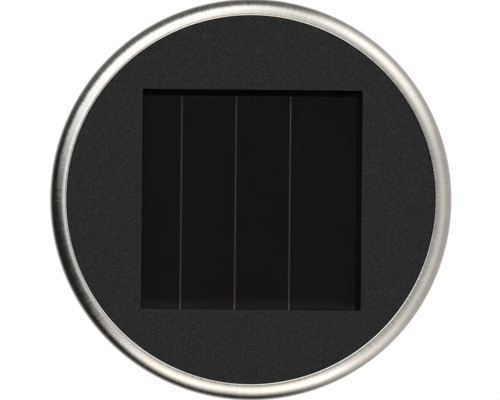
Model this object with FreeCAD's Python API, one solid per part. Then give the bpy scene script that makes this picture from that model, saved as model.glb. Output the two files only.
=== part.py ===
"""Solar path light: a round head with a solar panel in its top, on a clear fluted lens, a steel pole and a ground spike.

Millimetres. +Z is up and the origin is on the lamp's axis at ground level, under the flange of the spike.
+Y is the top of the panel as the lamp is seen from above. Every piece is one file in parts/.
"""

import FreeCAD
import Part
import math
import os
from FreeCAD import Vector

# Ground spike
FLANGE_RADIUS = 24.0
FLANGE_THICK = 4.0
BLADE_LENGTH = 150.0
BLADE_HALF_WIDTH = 17.0
BLADE_THICK = 3.0
SPIGOT_LENGTH = 40.0
SPIGOT_GAP = 0.2

# Pole
POLE_RADIUS = 12.5
POLE_WALL = 0.6
POLE_LENGTH = 230.0

# Lens base, a trumpet of plastic that plugs over the pole
SOCKET_GAP = 0.15
SOCKET_DEPTH = 30.0
SOCKET_WALL = 3.0
STOP_THICK = 2.4
FLARE_RADIUS = 22.0
FLARE_WALL = 2.2
FLARE_BELOW_POLE_TOP = 10.0
BASE_RIM_WALL = 2.0
BASE_RIM_HEIGHT = 6.0

# Lens
LENS_HEIGHT = 57.7
LENS_BOTTOM_RADIUS = 36.0
LENS_TOP_RADIUS = 44.0
LENS_WALL = 2.4
LENS_BAND = 9.0
FLUTE_COUNT = 36
FLUTE_DEPTH = 0.8
LUG_COUNT = 3
LUG_HALF_ANGLE = 5.0
LUG_REACH = 1.8
LUG_HEIGHT = 2.4
LUG_BELOW_TOP = 1.1
TWIST_ANGLE = 22.0

# Light cone in the lens
CONE_RADIUS = 32.3
CONE_FLAT = 6.0
CONE_HEIGHT = 21.6
CONE_WALL = 1.0
CONE_TIP = 1.2

# Head
RIM_RADIUS = 60.0
RIM_SHEET = 0.45
RIM_INNER_RADIUS = 54.85
RIM_LIP = 0.45
HEM_RADIUS = 1.6
HEM_INNER_RADIUS = 57.0
HEAD_HEIGHT = 24.9
SEAL_THICK = 1.5
FLOOR_THICK = 2.4
COLLAR_DEPTH = 9.0
COLLAR_WALL = 3.25
COLLAR_GAP = 0.35
TONGUE_HEIGHT = 7.6
FIT_GAP = 0.3
LUG_GAP = 0.4

# Top plate of the head and the panel in its pocket
PLATE_THICK = 2.2
SKIRT_WALL = 1.6
POCKET_WIDTH = 65.4
POCKET_LENGTH = 65.7
POCKET_CENTRE = (0.3, -0.1)
POCKET_DEPTH = 4.4
POCKET_WALL = 1.6
POCKET_EDGE = 0.15
PANEL_SIDE = 63.6
PANEL_CORNER_GAP = 0.15
PANEL_RECESS = 0.8
FOAM_THICK = 1.2
FOAM_MARGIN = 4.0
BOARD_THICK = 1.6
CELL_THICK = 0.25
COVER_THICK = 0.55
CELL_PITCH = 16.2
FIRST_CELL = 11.5
CELL_GAP = 0.3
CELL_END_MARGIN = 0.6
CELL_COUNT = 4

# Fasteners
SCREW_CIRCLE = 51.7
SCREW_COUNT = 4
SCREW_RADIUS = 1.45
SCREW_HOLE = 1.5
SCREW_HEAD_RADIUS = 2.7
SCREW_HEAD_HEIGHT = 1.8
SCREW_LENGTH = 12.0
BOSS_RADIUS = 3.4

# Battery, a cylindrical AA cell, with its bin and door
BATTERY_RADIUS = 7.1
BATTERY_LENGTH = 50.0
NUB_RADIUS = 2.7
NUB_LENGTH = 1.5
BATTERY_Y = -22.0
BATTERY_LIFT = 0.7
BIN_HALF_LENGTH = 27.2
BIN_OUTER_Y = -30.6
BIN_INNER_Y = -11.5
BIN_WALL = 1.4
BIN_ROOF = 1.0
BIN_ROOF_GAP = 0.2
CONTACT_SIDE = 9.0
CONTACT_THICK = 0.5
CONTACT_DIMPLE = 0.6
SPRING_WIRE = 0.3
SPRING_TURNS = 2.5
SPRING_WIDE = 4.6
SPRING_NARROW = 2.2
DOOR_GAP = 0.3
DOOR_THICK = 1.6
DOOR_AXIS_Y = -13.4
DOOR_AXIS_UP = 1.8
DOOR_BARREL = 1.6
DOOR_PIN = 0.9
DOOR_PIN_GAP = 0.08
DOOR_HALF_BARREL = 24.0
DOOR_BACK = 2.9
DOOR_RIB_X = 15.0

# Electronics
BOARD_HALF_WIDTH = 20.0
BOARD_Y = (-8.5, 30.5)
BOARD_UP = 6.9
POST_X = 16.5
POST_Y = (-4.0, 26.0)
POST_RADIUS = 2.5
LED_RADIUS = 2.5
LED_FLANGE = 2.9
LED_BODY = 6.0
LED_LEAD = 0.25
REFLECTOR_MOUTH = 8.5
REFLECTOR_THROAT = 3.1
REFLECTOR_WALL = 0.8
REFLECTOR_FLANGE = 9.6
SWITCH_Y = 20.0
SWITCH_SIZE = (8.6, 4.4, 3.6)
KNOB_SIZE = (2.6, 3.0)
KNOB_TRAVEL = 2.0
KNOB_PROUD = 1.4
KNOB_GAP = 0.3
THUMB_DISH = (14.0, 8.0, 0.9)
WIRE_RADIUS = 0.6
WIRE_BEND = 2.4

# Heights that follow from the sizes above
POLE_TOP = FLANGE_THICK + POLE_LENGTH
STOP_TOP = POLE_TOP + STOP_THICK
FLARE_Z = POLE_TOP - FLARE_BELOW_POLE_TOP
FLARE_R = POLE_RADIUS + SOCKET_GAP + SOCKET_WALL + 0.75 + FLARE_RADIUS
LENS_BOTTOM = FLARE_Z + FLARE_RADIUS + FLARE_WALL + 0.2
LENS_TOP = LENS_BOTTOM + LENS_HEIGHT
BAND_BOTTOM = LENS_TOP - LENS_BAND
HEAD_BOTTOM = LENS_TOP + SEAL_THICK
FLOOR_TOP = HEAD_BOTTOM + FLOOR_THICK
TOP = HEAD_BOTTOM + HEAD_HEIGHT
POCKET_FLOOR = TOP - POCKET_DEPTH
POCKET_UNDER = POCKET_FLOOR - POCKET_WALL
COLLAR_INNER = LENS_TOP_RADIUS + COLLAR_GAP
COLLAR_OUTER = COLLAR_INNER + COLLAR_WALL
SKIRT_OUTER = RIM_RADIUS - RIM_SHEET - 0.25
SKIRT_INNER = SKIRT_OUTER - SKIRT_WALL
BATTERY_Z = FLOOR_TOP + BATTERY_LIFT + BATTERY_RADIUS
PCB_BOTTOM = HEAD_BOTTOM + BOARD_UP
PCB_TOP = PCB_BOTTOM + BOARD_THICK
DOOR_AXIS_Z = HEAD_BOTTOM + DOOR_AXIS_UP
PANEL_TOP = TOP - PANEL_RECESS
PANEL_LEFT = POCKET_CENTRE[0] - POCKET_WIDTH / 2 + PANEL_CORNER_GAP
PANEL_FRONT = POCKET_CENTRE[1] - POCKET_LENGTH / 2 + PANEL_CORNER_GAP
AXIS = Vector(0, 0, 1)
ORIGIN = Vector(0, 0, 0)


# Shared shapes

def outline(start, *moves):
    """Closed face in the XZ plane. A move is an end point (r, z), or the middle and end of an arc (r, z, r, z)."""
    here = Vector(start[0], 0, start[1])
    edges = []
    for move in (*moves, start):
        end = Vector(move[-2], 0, move[-1])
        if len(move) == 4:
            edges.append(Part.Arc(here, Vector(move[0], 0, move[1]), end).toShape())
        elif here.distanceToPoint(end) > 1e-6:
            edges.append(Part.LineSegment(here, end).toShape())
        here = end
    return Part.Face(Part.Wire(edges))


def turned(start, *moves):
    """Solid turned about the lamp's axis from an outline."""
    return outline(start, *moves).revolve(ORIGIN, AXIS, 360)


def sector(r0, r1, z0, z1, first, last):
    """Piece of a ring between two angles in degrees."""
    face = outline((r0, z0), (r1, z0), (r1, z1), (r0, z1))
    face.rotate(ORIGIN, AXIS, first)
    return face.revolve(ORIGIN, AXIS, last - first)


def on_circle(centre, radius, tilt):
    """Point (r, z) on a circle, tilt degrees outward from its top."""
    angle = math.radians(tilt)
    return centre[0] + radius * math.sin(angle), centre[1] + radius * math.cos(angle)


def block(x0, x1, y0, y1, z0, z1):
    return Part.makeBox(x1 - x0, y1 - y0, z1 - z0, Vector(x0, y0, z0))


def post(radius, z0, z1, x=0.0, y=0.0):
    return Part.makeCylinder(radius, z1 - z0, Vector(x, y, z0), AXIS)


def bar(radius, x0, x1, y, z):
    """Cylinder that lies along X."""
    return Part.makeCylinder(radius, x1 - x0, Vector(x0, y, z), Vector(1, 0, 0))


def spread(shape, count, start=0.0):
    """Copies of a shape, evenly turned about the lamp's axis."""
    copies = []
    for index in range(count):
        copy = shape.copy()
        copy.rotate(ORIGIN, AXIS, start + 360.0 / count * index)
        copies.append(copy)
    return copies


def crossed(shape):
    """A shape and the same shape a quarter turn on, about the lamp's axis."""
    return spread(shape, 4)[:2]


def fused(*shapes):
    return shapes[0].multiFuse(list(shapes[1:])).removeSplitter()


def without(shape, *cutters):
    return shape.cut(list(cutters)).removeSplitter()


def screw_places():
    """Centres of the head's screws, on the diagonals of the panel."""
    angles = [math.radians(45 + 360 / SCREW_COUNT * index) for index in range(SCREW_COUNT)]
    return [(SCREW_CIRCLE * math.cos(a), SCREW_CIRCLE * math.sin(a)) for a in angles]


def pan_screw(x, y, z, radius, head_radius, head_height, length):
    """Pan head screw that points up, its head's flat at height z."""
    shank = post(radius, z, z + length - radius, x, y)
    tip = Part.makeCone(radius, radius * 0.3, radius, Vector(x, y, z + length - radius), AXIS)
    head = post(head_radius, z - head_height, z, x, y)
    head = head.makeFillet(head_height * 0.7, [head.Edges[2]])
    return fused(shank, tip, head)


def wire_along(points, radius, bend):
    """Round wire through points, straight between tangent bends."""
    points = [Vector(*p) for p in points]
    edges = []
    here = points[0]
    for before, corner, after in zip(points, points[1:], points[2:]):
        to_before = (before - corner).normalize()
        to_after = (after - corner).normalize()
        half = to_before.getAngle(to_after) / 2
        cut = bend / math.tan(half)
        start, end = corner + to_before * cut, corner + to_after * cut
        inward = (to_before + to_after).normalize()
        middle = corner + inward * (bend / math.sin(half) - bend)
        edges.append(Part.LineSegment(here, start).toShape())
        edges.append(Part.Arc(start, middle, end).toShape())
        here = end
    edges.append(Part.LineSegment(here, points[-1]).toShape())
    section = Part.Wire(Part.makeCircle(radius, points[0], points[1] - points[0]))
    return Part.Wire(edges).makePipeShell([section], True, False)


# Spike and pole

def ground_spike():
    """Four-bladed spike under a flange, with a ribbed spigot that the pole slides over."""
    wide, thin = BLADE_HALF_WIDTH, BLADE_THICK / 2
    half = [(FLANGE_RADIUS - 4, 0), (wide, -6), (wide - 2, -30), (2.4, 8 - BLADE_LENGTH)]
    blade = outline(*half, (0, -BLADE_LENGTH), *[(-x, z) for x, z in reversed(half)])
    blade.translate(Vector(0, -thin, 0))
    blade = blade.extrude(Vector(0, BLADE_THICK, 0))
    flange = turned((0, 0), (FLANGE_RADIUS, 0), (FLANGE_RADIUS, 2.2),
                    (FLANGE_RADIUS - 0.6, 3.4, FLANGE_RADIUS - 2, FLANGE_THICK), (0, FLANGE_THICK))
    reach = POLE_RADIUS - POLE_WALL - SPIGOT_GAP
    spigot_top = FLANGE_THICK + SPIGOT_LENGTH
    envelope = turned((0, FLANGE_THICK), (reach, FLANGE_THICK), (reach, spigot_top - 4),
                      (reach - 1.6, spigot_top), (0, spigot_top))
    rib = block(-reach, reach, -thin, thin, FLANGE_THICK, spigot_top)
    cross = fused(*crossed(rib), post(4.4, FLANGE_THICK, spigot_top))
    bands = [post(reach, z, z + 3, 0, 0) for z in (FLANGE_THICK, spigot_top - 8)]
    return fused(flange, *crossed(blade), envelope.common(cross), *bands)


def pole():
    inner = POLE_RADIUS - POLE_WALL
    return turned((inner, FLANGE_THICK), (POLE_RADIUS, FLANGE_THICK), (POLE_RADIUS, POLE_TOP), (inner, POLE_TOP))


# Lens and its base

def lens_slope():
    """How far the lens widens for each millimetre up to its band."""
    return (LENS_TOP_RADIUS - 0.3 - LENS_BOTTOM_RADIUS) / (BAND_BOTTOM - LENS_BOTTOM)


def lens_base():
    """Socket for the pole that flares like a trumpet to the rim that holds the lens."""
    bore = POLE_RADIUS + SOCKET_GAP
    outer = bore + SOCKET_WALL
    bottom = POLE_TOP - SOCKET_DEPTH
    centre = (FLARE_R, FLARE_Z)
    rim = LENS_BOTTOM_RADIUS + BASE_RIM_HEIGHT * lens_slope() + 0.2
    rim_top = LENS_BOTTOM + BASE_RIM_HEIGHT
    rim_outer = rim + BASE_RIM_WALL
    flare_top = FLARE_Z + FLARE_RADIUS
    above = FLARE_RADIUS + FLARE_WALL
    shelf = CONE_RADIUS - CONE_FLAT + 1.5
    dish_in = math.degrees(math.asin((shelf - FLARE_R) / above))
    dish_out = -math.degrees(math.acos((STOP_TOP - FLARE_Z) / above))
    return turned(
        (bore, bottom), (outer - 0.8, bottom),
        (outer - 0.23, bottom + 0.23, outer, bottom + 0.8),
        (FLARE_R - FLARE_RADIUS, FLARE_Z),
        (*on_circle(centre, FLARE_RADIUS, -45), FLARE_R, flare_top),
        (rim_outer - 1, flare_top),
        (rim_outer - 0.29, flare_top + 0.29, rim_outer, flare_top + 1),
        (rim_outer, rim_top - 0.8),
        (rim_outer - 0.23, rim_top - 0.23, rim_outer - 0.8, rim_top),
        (rim, rim_top), (LENS_BOTTOM_RADIUS + 0.25, LENS_BOTTOM), (shelf, LENS_BOTTOM),
        on_circle(centre, above, dish_in),
        (*on_circle(centre, above, (dish_in + dish_out) / 2), *on_circle(centre, above, dish_out)),
        (0, STOP_TOP), (0, POLE_TOP), (bore, POLE_TOP))


def flute_ring(radius, z):
    """Closed wire of shallow arcs that bulge inward, the section of the fluted inside of the lens."""
    step = 2 * math.pi / FLUTE_COUNT
    edges = []
    for index in range(FLUTE_COUNT):
        places = [(radius, index), (radius - FLUTE_DEPTH, index + 0.5), (radius, index + 1)]
        ends = [Vector(r * math.cos(a * step), r * math.sin(a * step), z) for r, a in places]
        edges.append(Part.Arc(*ends).toShape())
    return Part.Wire(edges)


def lens():
    """Clear cup, open at both ends: smooth outside, upright flutes inside, bayonet lugs on its top band."""
    shoulder = LENS_TOP_RADIUS - 0.3
    body = turned((0, LENS_BOTTOM), (LENS_BOTTOM_RADIUS, LENS_BOTTOM), (shoulder, BAND_BOTTOM),
                  (LENS_TOP_RADIUS, BAND_BOTTOM + 0.5), (LENS_TOP_RADIUS, LENS_TOP - 0.4),
                  (LENS_TOP_RADIUS - 0.4, LENS_TOP), (0, LENS_TOP))
    low, high = LENS_BOTTOM - 1, BAND_BOTTOM
    low_radius = LENS_BOTTOM_RADIUS - LENS_WALL - lens_slope()
    inside = Part.makeLoft([flute_ring(low_radius, low), flute_ring(shoulder - LENS_WALL, high)], True, True)
    mouth = post(LENS_TOP_RADIUS - LENS_WALL, high, LENS_TOP + 1)
    lug_top = LENS_TOP - LUG_BELOW_TOP
    lug = sector(LENS_TOP_RADIUS - 1, LENS_TOP_RADIUS + LUG_REACH, lug_top - LUG_HEIGHT, lug_top,
                 -LUG_HALF_ANGLE, LUG_HALF_ANGLE)
    return fused(without(body, inside, mouth), *spread(lug, LUG_COUNT, 90))


def cone_reflector():
    """Bright cone at the foot of the lens that turns the light outward, hollow below."""
    foot = CONE_RADIUS - CONE_FLAT
    base = LENS_BOTTOM + CONE_WALL
    tip = LENS_BOTTOM + CONE_HEIGHT
    rise = tip - base
    radius = ((foot - CONE_TIP) ** 2 + rise ** 2) / (2 * rise)
    centre = (foot, base + radius)
    hollow = radius + CONE_WALL
    hollow_top = tip - 6
    steep = math.degrees(math.acos((radius - rise) / radius))
    hollow_steep = math.degrees(math.acos((centre[1] - hollow_top) / hollow))
    hollow_foot = 10.0

    def below(size, tilt):
        return on_circle(centre, -size, tilt)

    ring_edge = below(hollow, hollow_foot)
    ball = (0, tip - CONE_TIP / 4)
    ball_radius = math.hypot(CONE_TIP, CONE_TIP / 4)
    return turned(
        (ring_edge[0], LENS_BOTTOM), (CONE_RADIUS, LENS_BOTTOM), (CONE_RADIUS, base), (foot, base),
        (*below(radius, steep / 2), CONE_TIP, tip), (*on_circle(ball, ball_radius, 40), 0, ball[1] + ball_radius),
        (0, hollow_top), below(hollow, hollow_steep),
        (*below(hollow, (hollow_steep + hollow_foot) / 2), *ring_edge))


def seal_ring():
    """Flat rubber ring between the lens and the head."""
    inner = LENS_TOP_RADIUS - LENS_WALL + 0.1
    return turned((inner, LENS_TOP), (LENS_TOP_RADIUS, LENS_TOP),
                  (LENS_TOP_RADIUS, HEAD_BOTTOM), (inner, HEAD_BOTTOM))


# Shells of the head

def rim_centre():
    """Centre of the rim's rolled edge, at the outer edge of its lip."""
    lip_edge = RIM_INNER_RADIUS + RIM_LIP
    return lip_edge, TOP + RIM_SHEET - (RIM_RADIUS - lip_edge)


def rim_shell():
    """Drawn steel band: a thin lip on the plate, a quarter-round rolled edge, a straight side and a hem below."""
    centre = rim_centre()
    outer = RIM_RADIUS - centre[0]
    inner = outer - RIM_SHEET
    side = RIM_RADIUS - RIM_SHEET
    hem = (RIM_RADIUS - HEM_RADIUS, HEAD_BOTTOM + HEM_RADIUS)
    edge = (centre[0], TOP + RIM_SHEET - RIM_LIP)
    return turned(
        (RIM_INNER_RADIUS, TOP), (RIM_INNER_RADIUS, edge[1]),
        (*on_circle(edge, RIM_LIP, -45), centre[0], TOP + RIM_SHEET),
        (*on_circle(centre, outer, 45), RIM_RADIUS, centre[1]),
        (RIM_RADIUS, hem[1]),
        (*on_circle(hem, HEM_RADIUS, 135), hem[0], HEAD_BOTTOM),
        (HEM_INNER_RADIUS, HEAD_BOTTOM), (HEM_INNER_RADIUS, HEAD_BOTTOM + RIM_SHEET),
        (hem[0], HEAD_BOTTOM + RIM_SHEET),
        (*on_circle(hem, HEM_RADIUS - RIM_SHEET, 135), side, hem[1]),
        (side, centre[1]),
        (*on_circle(centre, inner, 45), centre[0], TOP))


def top_housing():
    """Textured top plate with a square pocket for the panel, a skirt, and bosses for the screws."""
    plate_under = TOP - PLATE_THICK
    centre = rim_centre()
    round_edge = SKIRT_OUTER - centre[0]
    start = math.degrees(math.asin(FIT_GAP / round_edge))
    shell = turned(
        (0, plate_under), (0, TOP), (centre[0], TOP), on_circle(centre, round_edge, start),
        (*on_circle(centre, round_edge, (start + 90) / 2), SKIRT_OUTER, centre[1]),
        (SKIRT_OUTER, FLOOR_TOP), (SKIRT_INNER, FLOOR_TOP), (SKIRT_INNER, plate_under))
    tray = pocket_block(POCKET_WALL, POCKET_UNDER, TOP)
    pocket = pocket_block(0, POCKET_FLOOR, TOP)
    flare = Part.makeLoft([pocket_wire(0, TOP - POCKET_EDGE), pocket_wire(POCKET_EDGE, TOP)], True, True)
    bosses = [post(BOSS_RADIUS, FLOOR_TOP, plate_under, x, y) for x, y in screw_places()]
    pilots = [post(SCREW_HOLE, FLOOR_TOP, HEAD_BOTTOM + SCREW_LENGTH + 1, x, y) for x, y in screw_places()]
    lead_holes = [post(WIRE_RADIUS + 0.5, POCKET_UNDER, POCKET_FLOOR, x, y) for x, y in lead_places()]
    return without(fused(shell, tray, *bosses), pocket, flare, *pilots, *lead_holes)


def pocket_sides(grow):
    """Left, right, front and back of the pocket, grown all round."""
    x, y = POCKET_CENTRE
    half_x, half_y = POCKET_WIDTH / 2 + grow, POCKET_LENGTH / 2 + grow
    return x - half_x, x + half_x, y - half_y, y + half_y


def pocket_block(grow, z0, z1):
    return block(*pocket_sides(grow), z0, z1)


def pocket_wire(grow, z):
    left, right, front, back = pocket_sides(grow)
    corners = [(left, front), (right, front), (right, back), (left, back), (left, front)]
    return Part.makePolygon([Vector(x, y, z) for x, y in corners])


def lower_housing():
    """Floor of the head: collar with bayonet slots below, battery bin and board posts above."""
    tongue_outer = SKIRT_INNER - FIT_GAP
    edge_z = HEAD_BOTTOM + RIM_SHEET
    inset = HEM_INNER_RADIUS - FIT_GAP
    hem_start = RIM_RADIUS - HEM_RADIUS - 0.2
    floor = turned(
        (0, HEAD_BOTTOM), (inset, HEAD_BOTTOM), (inset, edge_z), (hem_start, edge_z),
        (SKIRT_OUTER, HEAD_BOTTOM + HEM_RADIUS + 0.1), (SKIRT_OUTER, FLOOR_TOP),
        (tongue_outer, FLOOR_TOP), (tongue_outer, FLOOR_TOP + TONGUE_HEIGHT),
        (tongue_outer - 2, FLOOR_TOP + TONGUE_HEIGHT), (tongue_outer - 2, FLOOR_TOP), (0, FLOOR_TOP))
    collar_bottom = HEAD_BOTTOM - COLLAR_DEPTH
    collar = turned(
        (COLLAR_INNER, HEAD_BOTTOM), (COLLAR_INNER, collar_bottom), (COLLAR_OUTER - 1, collar_bottom),
        (COLLAR_OUTER - 0.29, collar_bottom + 0.29, COLLAR_OUTER, collar_bottom + 1), (COLLAR_OUTER, HEAD_BOTTOM))
    posts = [post(POST_RADIUS, FLOOR_TOP, PCB_BOTTOM, x, y) for x in (-POST_X, POST_X) for y in POST_Y]
    post_pilots = [post(0.8, PCB_BOTTOM - 4, PCB_BOTTOM, x, POST_Y[1]) for x in (-POST_X, POST_X)]
    screw_holes = [post(SCREW_RADIUS + 0.25, HEAD_BOTTOM, FLOOR_TOP, x, y) for x, y in screw_places()]
    throat = post(REFLECTOR_MOUTH + 0.3, HEAD_BOTTOM, FLOOR_TOP)
    body = fused(floor, collar, battery_bin(), *hinge_ears(), *posts)
    return without(body, *bayonet_slots(), bin_inside(), *hinge_bores(), *post_pilots, *screw_holes, throat,
                   *switch_opening(), *bin_notches())


def bayonet_slots():
    """Entry from below and a level run for each lug; the head turns clockwise to lock."""
    outer = LENS_TOP_RADIUS + LUG_REACH + 0.3
    lug_top = LENS_TOP - LUG_BELOW_TOP
    run_top, run_bottom = lug_top + LUG_GAP, lug_top - LUG_HEIGHT - LUG_GAP
    wide = LUG_HALF_ANGLE + 1
    entry = sector(COLLAR_INNER - 1, outer, HEAD_BOTTOM - COLLAR_DEPTH - 1, run_top, -wide, wide)
    run = sector(COLLAR_INNER - 1, outer, run_bottom, run_top, -wide, wide + TWIST_ANGLE)
    return spread(entry, LUG_COUNT, 90) + spread(run, LUG_COUNT, 90)


def battery_bin():
    """Box over the door opening that holds the battery and its contacts."""
    return block(-BIN_HALF_LENGTH - BIN_WALL, BIN_HALF_LENGTH + BIN_WALL, BIN_OUTER_Y - BIN_WALL,
                 BIN_INNER_Y + BIN_WALL, FLOOR_TOP, POCKET_UNDER - BIN_ROOF_GAP)


def bin_inside():
    """Room in the bin, down through the floor, less the corners that carry the door's hinge."""
    roof = POCKET_UNDER - BIN_ROOF_GAP - BIN_ROOF
    room = block(-BIN_HALF_LENGTH, BIN_HALF_LENGTH, BIN_OUTER_Y, BIN_INNER_Y, HEAD_BOTTOM, roof)
    return room.cut(hinge_ears())


def hinge_ears():
    """Blocks at the inner corners of the door opening that carry the door's pins."""
    y0, z1 = DOOR_AXIS_Y - 1.8, HEAD_BOTTOM + 3.8
    x0, x1 = DOOR_HALF_BARREL + DOOR_GAP, BIN_HALF_LENGTH
    return [block(min(s * x0, s * x1), max(s * x0, s * x1), y0, BIN_INNER_Y, HEAD_BOTTOM, z1) for s in (-1, 1)]


def hinge_bores():
    bore = DOOR_PIN + DOOR_PIN_GAP
    reach = DOOR_HALF_BARREL + 2.6
    return [bar(bore, x, x + reach, DOOR_AXIS_Y, DOOR_AXIS_Z) for x in (-reach, 0)]


def switch_opening():
    """Slot for the knob in a shallow dish for the fingertip."""
    long, wide = KNOB_SIZE[0] + KNOB_TRAVEL + 2 * KNOB_GAP, KNOB_SIZE[1] + 2 * KNOB_GAP
    slot = block(-long / 2, long / 2, SWITCH_Y - wide / 2, SWITCH_Y + wide / 2, HEAD_BOTTOM, FLOOR_TOP)
    length, width, depth = THUMB_DISH
    radius = width / 2
    straight = length / 2 - radius
    dish = fused(block(-straight, straight, SWITCH_Y - radius, SWITCH_Y + radius, HEAD_BOTTOM, HEAD_BOTTOM + depth),
                 *[post(radius, HEAD_BOTTOM, HEAD_BOTTOM + depth, x, SWITCH_Y) for x in (-straight, straight)])
    return [slot, dish]


def bin_notches():
    """Notches in the inner wall of the bin for the battery's leads."""
    z1 = POCKET_UNDER - BIN_ROOF_GAP - BIN_ROOF
    return [block(x - 1.1, x + 1.1, BIN_INNER_Y - 0.1, BIN_INNER_Y + BIN_WALL, z1 - 3.2, z1)
            for x in (-battery_lead_x(), battery_lead_x())]


def housing_screws():
    screws = [pan_screw(x, y, HEAD_BOTTOM, SCREW_RADIUS, SCREW_HEAD_RADIUS, SCREW_HEAD_HEIGHT, SCREW_LENGTH)
              for x, y in screw_places()]
    return Part.makeCompound(screws)


# Solar panel

def panel_block(z0, z1, margin=0.0):
    """Square layer of the panel, which sits in the lower left corner of its pocket."""
    return block(PANEL_LEFT + margin, PANEL_LEFT + PANEL_SIDE - margin,
                 PANEL_FRONT + margin, PANEL_FRONT + PANEL_SIDE - margin, z0, z1)


def lead_places():
    """Where the panel's two leads come through, positive first."""
    return [(6.0, 12.0), (-6.0, 12.0)]


def panel_foam():
    """Foam pad that holds the panel down, cut away for the leads."""
    holes = [post(WIRE_RADIUS + 0.6, POCKET_FLOOR, POCKET_FLOOR + FOAM_THICK, x, y) for x, y in lead_places()]
    return without(panel_block(POCKET_FLOOR, POCKET_FLOOR + FOAM_THICK, FOAM_MARGIN), *holes)


def panel_board():
    """Backing board of the panel; its pale face shows as thin lines between the cells."""
    z0 = POCKET_FLOOR + FOAM_THICK
    return panel_block(z0, PANEL_TOP - COVER_THICK - CELL_THICK)


def solar_cells():
    """Dark strips side by side: the first is cut narrower, and a plain margin is left on the right."""
    z1 = PANEL_TOP - COVER_THICK
    y0, y1 = PANEL_FRONT + CELL_END_MARGIN, PANEL_FRONT + PANEL_SIDE - CELL_END_MARGIN
    edges = [PANEL_LEFT + FIRST_CELL + CELL_PITCH * index for index in range(CELL_COUNT)]
    starts = [PANEL_LEFT + CELL_END_MARGIN] + [edge + CELL_GAP / 2 for edge in edges[:-1]]
    ends = [edge - CELL_GAP / 2 for edge in edges]
    return Part.makeCompound([block(x0, x1, y0, y1, z1 - CELL_THICK, z1) for x0, x1 in zip(starts, ends)])


def panel_cover():
    """Clear sheet over the cells."""
    return panel_block(PANEL_TOP - COVER_THICK, PANEL_TOP)


# Battery, contacts and door

def battery():
    """Cell with a raised nub at its positive end, +X."""
    x1 = contact_face() - NUB_LENGTH
    x0 = x1 - BATTERY_LENGTH + NUB_LENGTH
    can = bar(BATTERY_RADIUS, x0, x1, BATTERY_Y, BATTERY_Z)
    can = can.makeFillet(0.7, [edge for edge in can.Edges if edge.Curve.TypeId == "Part::GeomCircle"])
    nub = bar(NUB_RADIUS, x1 - 0.5, x1 + NUB_LENGTH, BATTERY_Y, BATTERY_Z)
    return fused(can, nub)


def contact_face():
    """Where the positive contact's dimple meets the battery."""
    return BIN_HALF_LENGTH - CONTACT_THICK - CONTACT_DIMPLE


def contact_plate(x0):
    half = CONTACT_SIDE / 2
    tab = block(x0, x0 + CONTACT_THICK, BATTERY_Y + half, battery_lead_y(), BATTERY_Z + 1, BATTERY_Z + half)
    plate = block(x0, x0 + CONTACT_THICK, BATTERY_Y - half, BATTERY_Y + half, BATTERY_Z - half, BATTERY_Z + half)
    return fused(plate, tab)


def battery_contact():
    """Positive contact with a flat dimple towards the battery."""
    plate_x = BIN_HALF_LENGTH - CONTACT_THICK
    dimple = Part.makeCone(1.6, 2.6, CONTACT_DIMPLE, Vector(contact_face(), BATTERY_Y, BATTERY_Z), Vector(1, 0, 0))
    return fused(contact_plate(plate_x), dimple)


def spring_plate():
    return contact_plate(-BIN_HALF_LENGTH)


def bend_between(start, way_in, end, way_out):
    """Two tangent arcs from one point and direction to another."""
    gap = end - start
    both = way_in + way_out
    turn = 2 * (1 - way_in.dot(way_out))
    reach = (math.sqrt(gap.dot(both) ** 2 + turn * gap.dot(gap)) - gap.dot(both)) / turn
    near, far = start + way_in * reach, end - way_out * reach
    middle = (near + far) * 0.5
    return [arc_to(start, near, middle), arc_to(middle, far, end)]


def arc_to(start, corner, end):
    """Arc from start to end, tangent to the lines that meet at the corner."""
    chord = (start + end) * 0.5
    angle = (end - start).getAngle(corner - start)
    return Part.Arc(start, chord + (corner - chord) * (math.tan(angle / 2) / math.tan(angle)), end).toShape()


def battery_spring():
    """Conical coil between its plate and the flat end of the battery, one unbroken wire."""
    x0 = -BIN_HALF_LENGTH + CONTACT_THICK + SPRING_WIRE
    x1 = contact_face() - BATTERY_LENGTH - SPRING_WIRE
    steps = int(SPRING_TURNS * 4)
    turn = SPRING_TURNS * 2 * math.pi

    def place(share):
        radius = SPRING_WIDE + (SPRING_NARROW - SPRING_WIDE) * share
        return Vector(x0 + (x1 - x0) * share, BATTERY_Y + radius * math.cos(turn * share),
                      BATTERY_Z + radius * math.sin(turn * share))

    def heading(share):
        return (place(share + 1e-5) - place(share - 1e-5)).normalize()

    shares = [index / steps for index in range(steps + 1)]
    edges = []
    for a, b in zip(shares, shares[1:]):
        edges += bend_between(place(a), heading(a), place(b), heading(b))
    path = Part.Wire(edges)
    print("battery_spring least gap between turns", round(turn_gap(path), 2))
    section = Part.Wire(Part.makeCircle(SPRING_WIRE, place(0), heading(0)))
    return path.makePipeShell([section], True, False)


def turn_gap(path):
    """Least gap between the spring's turns, from points along its wire that are half a turn or more apart."""
    points = path.discretize(Number=int(SPRING_TURNS * 40) + 1)
    apart = 20
    nearest = min(a.distanceToPoint(b) for i, a in enumerate(points) for b in points[i + apart:])
    return nearest - 2 * SPRING_WIRE


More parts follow.
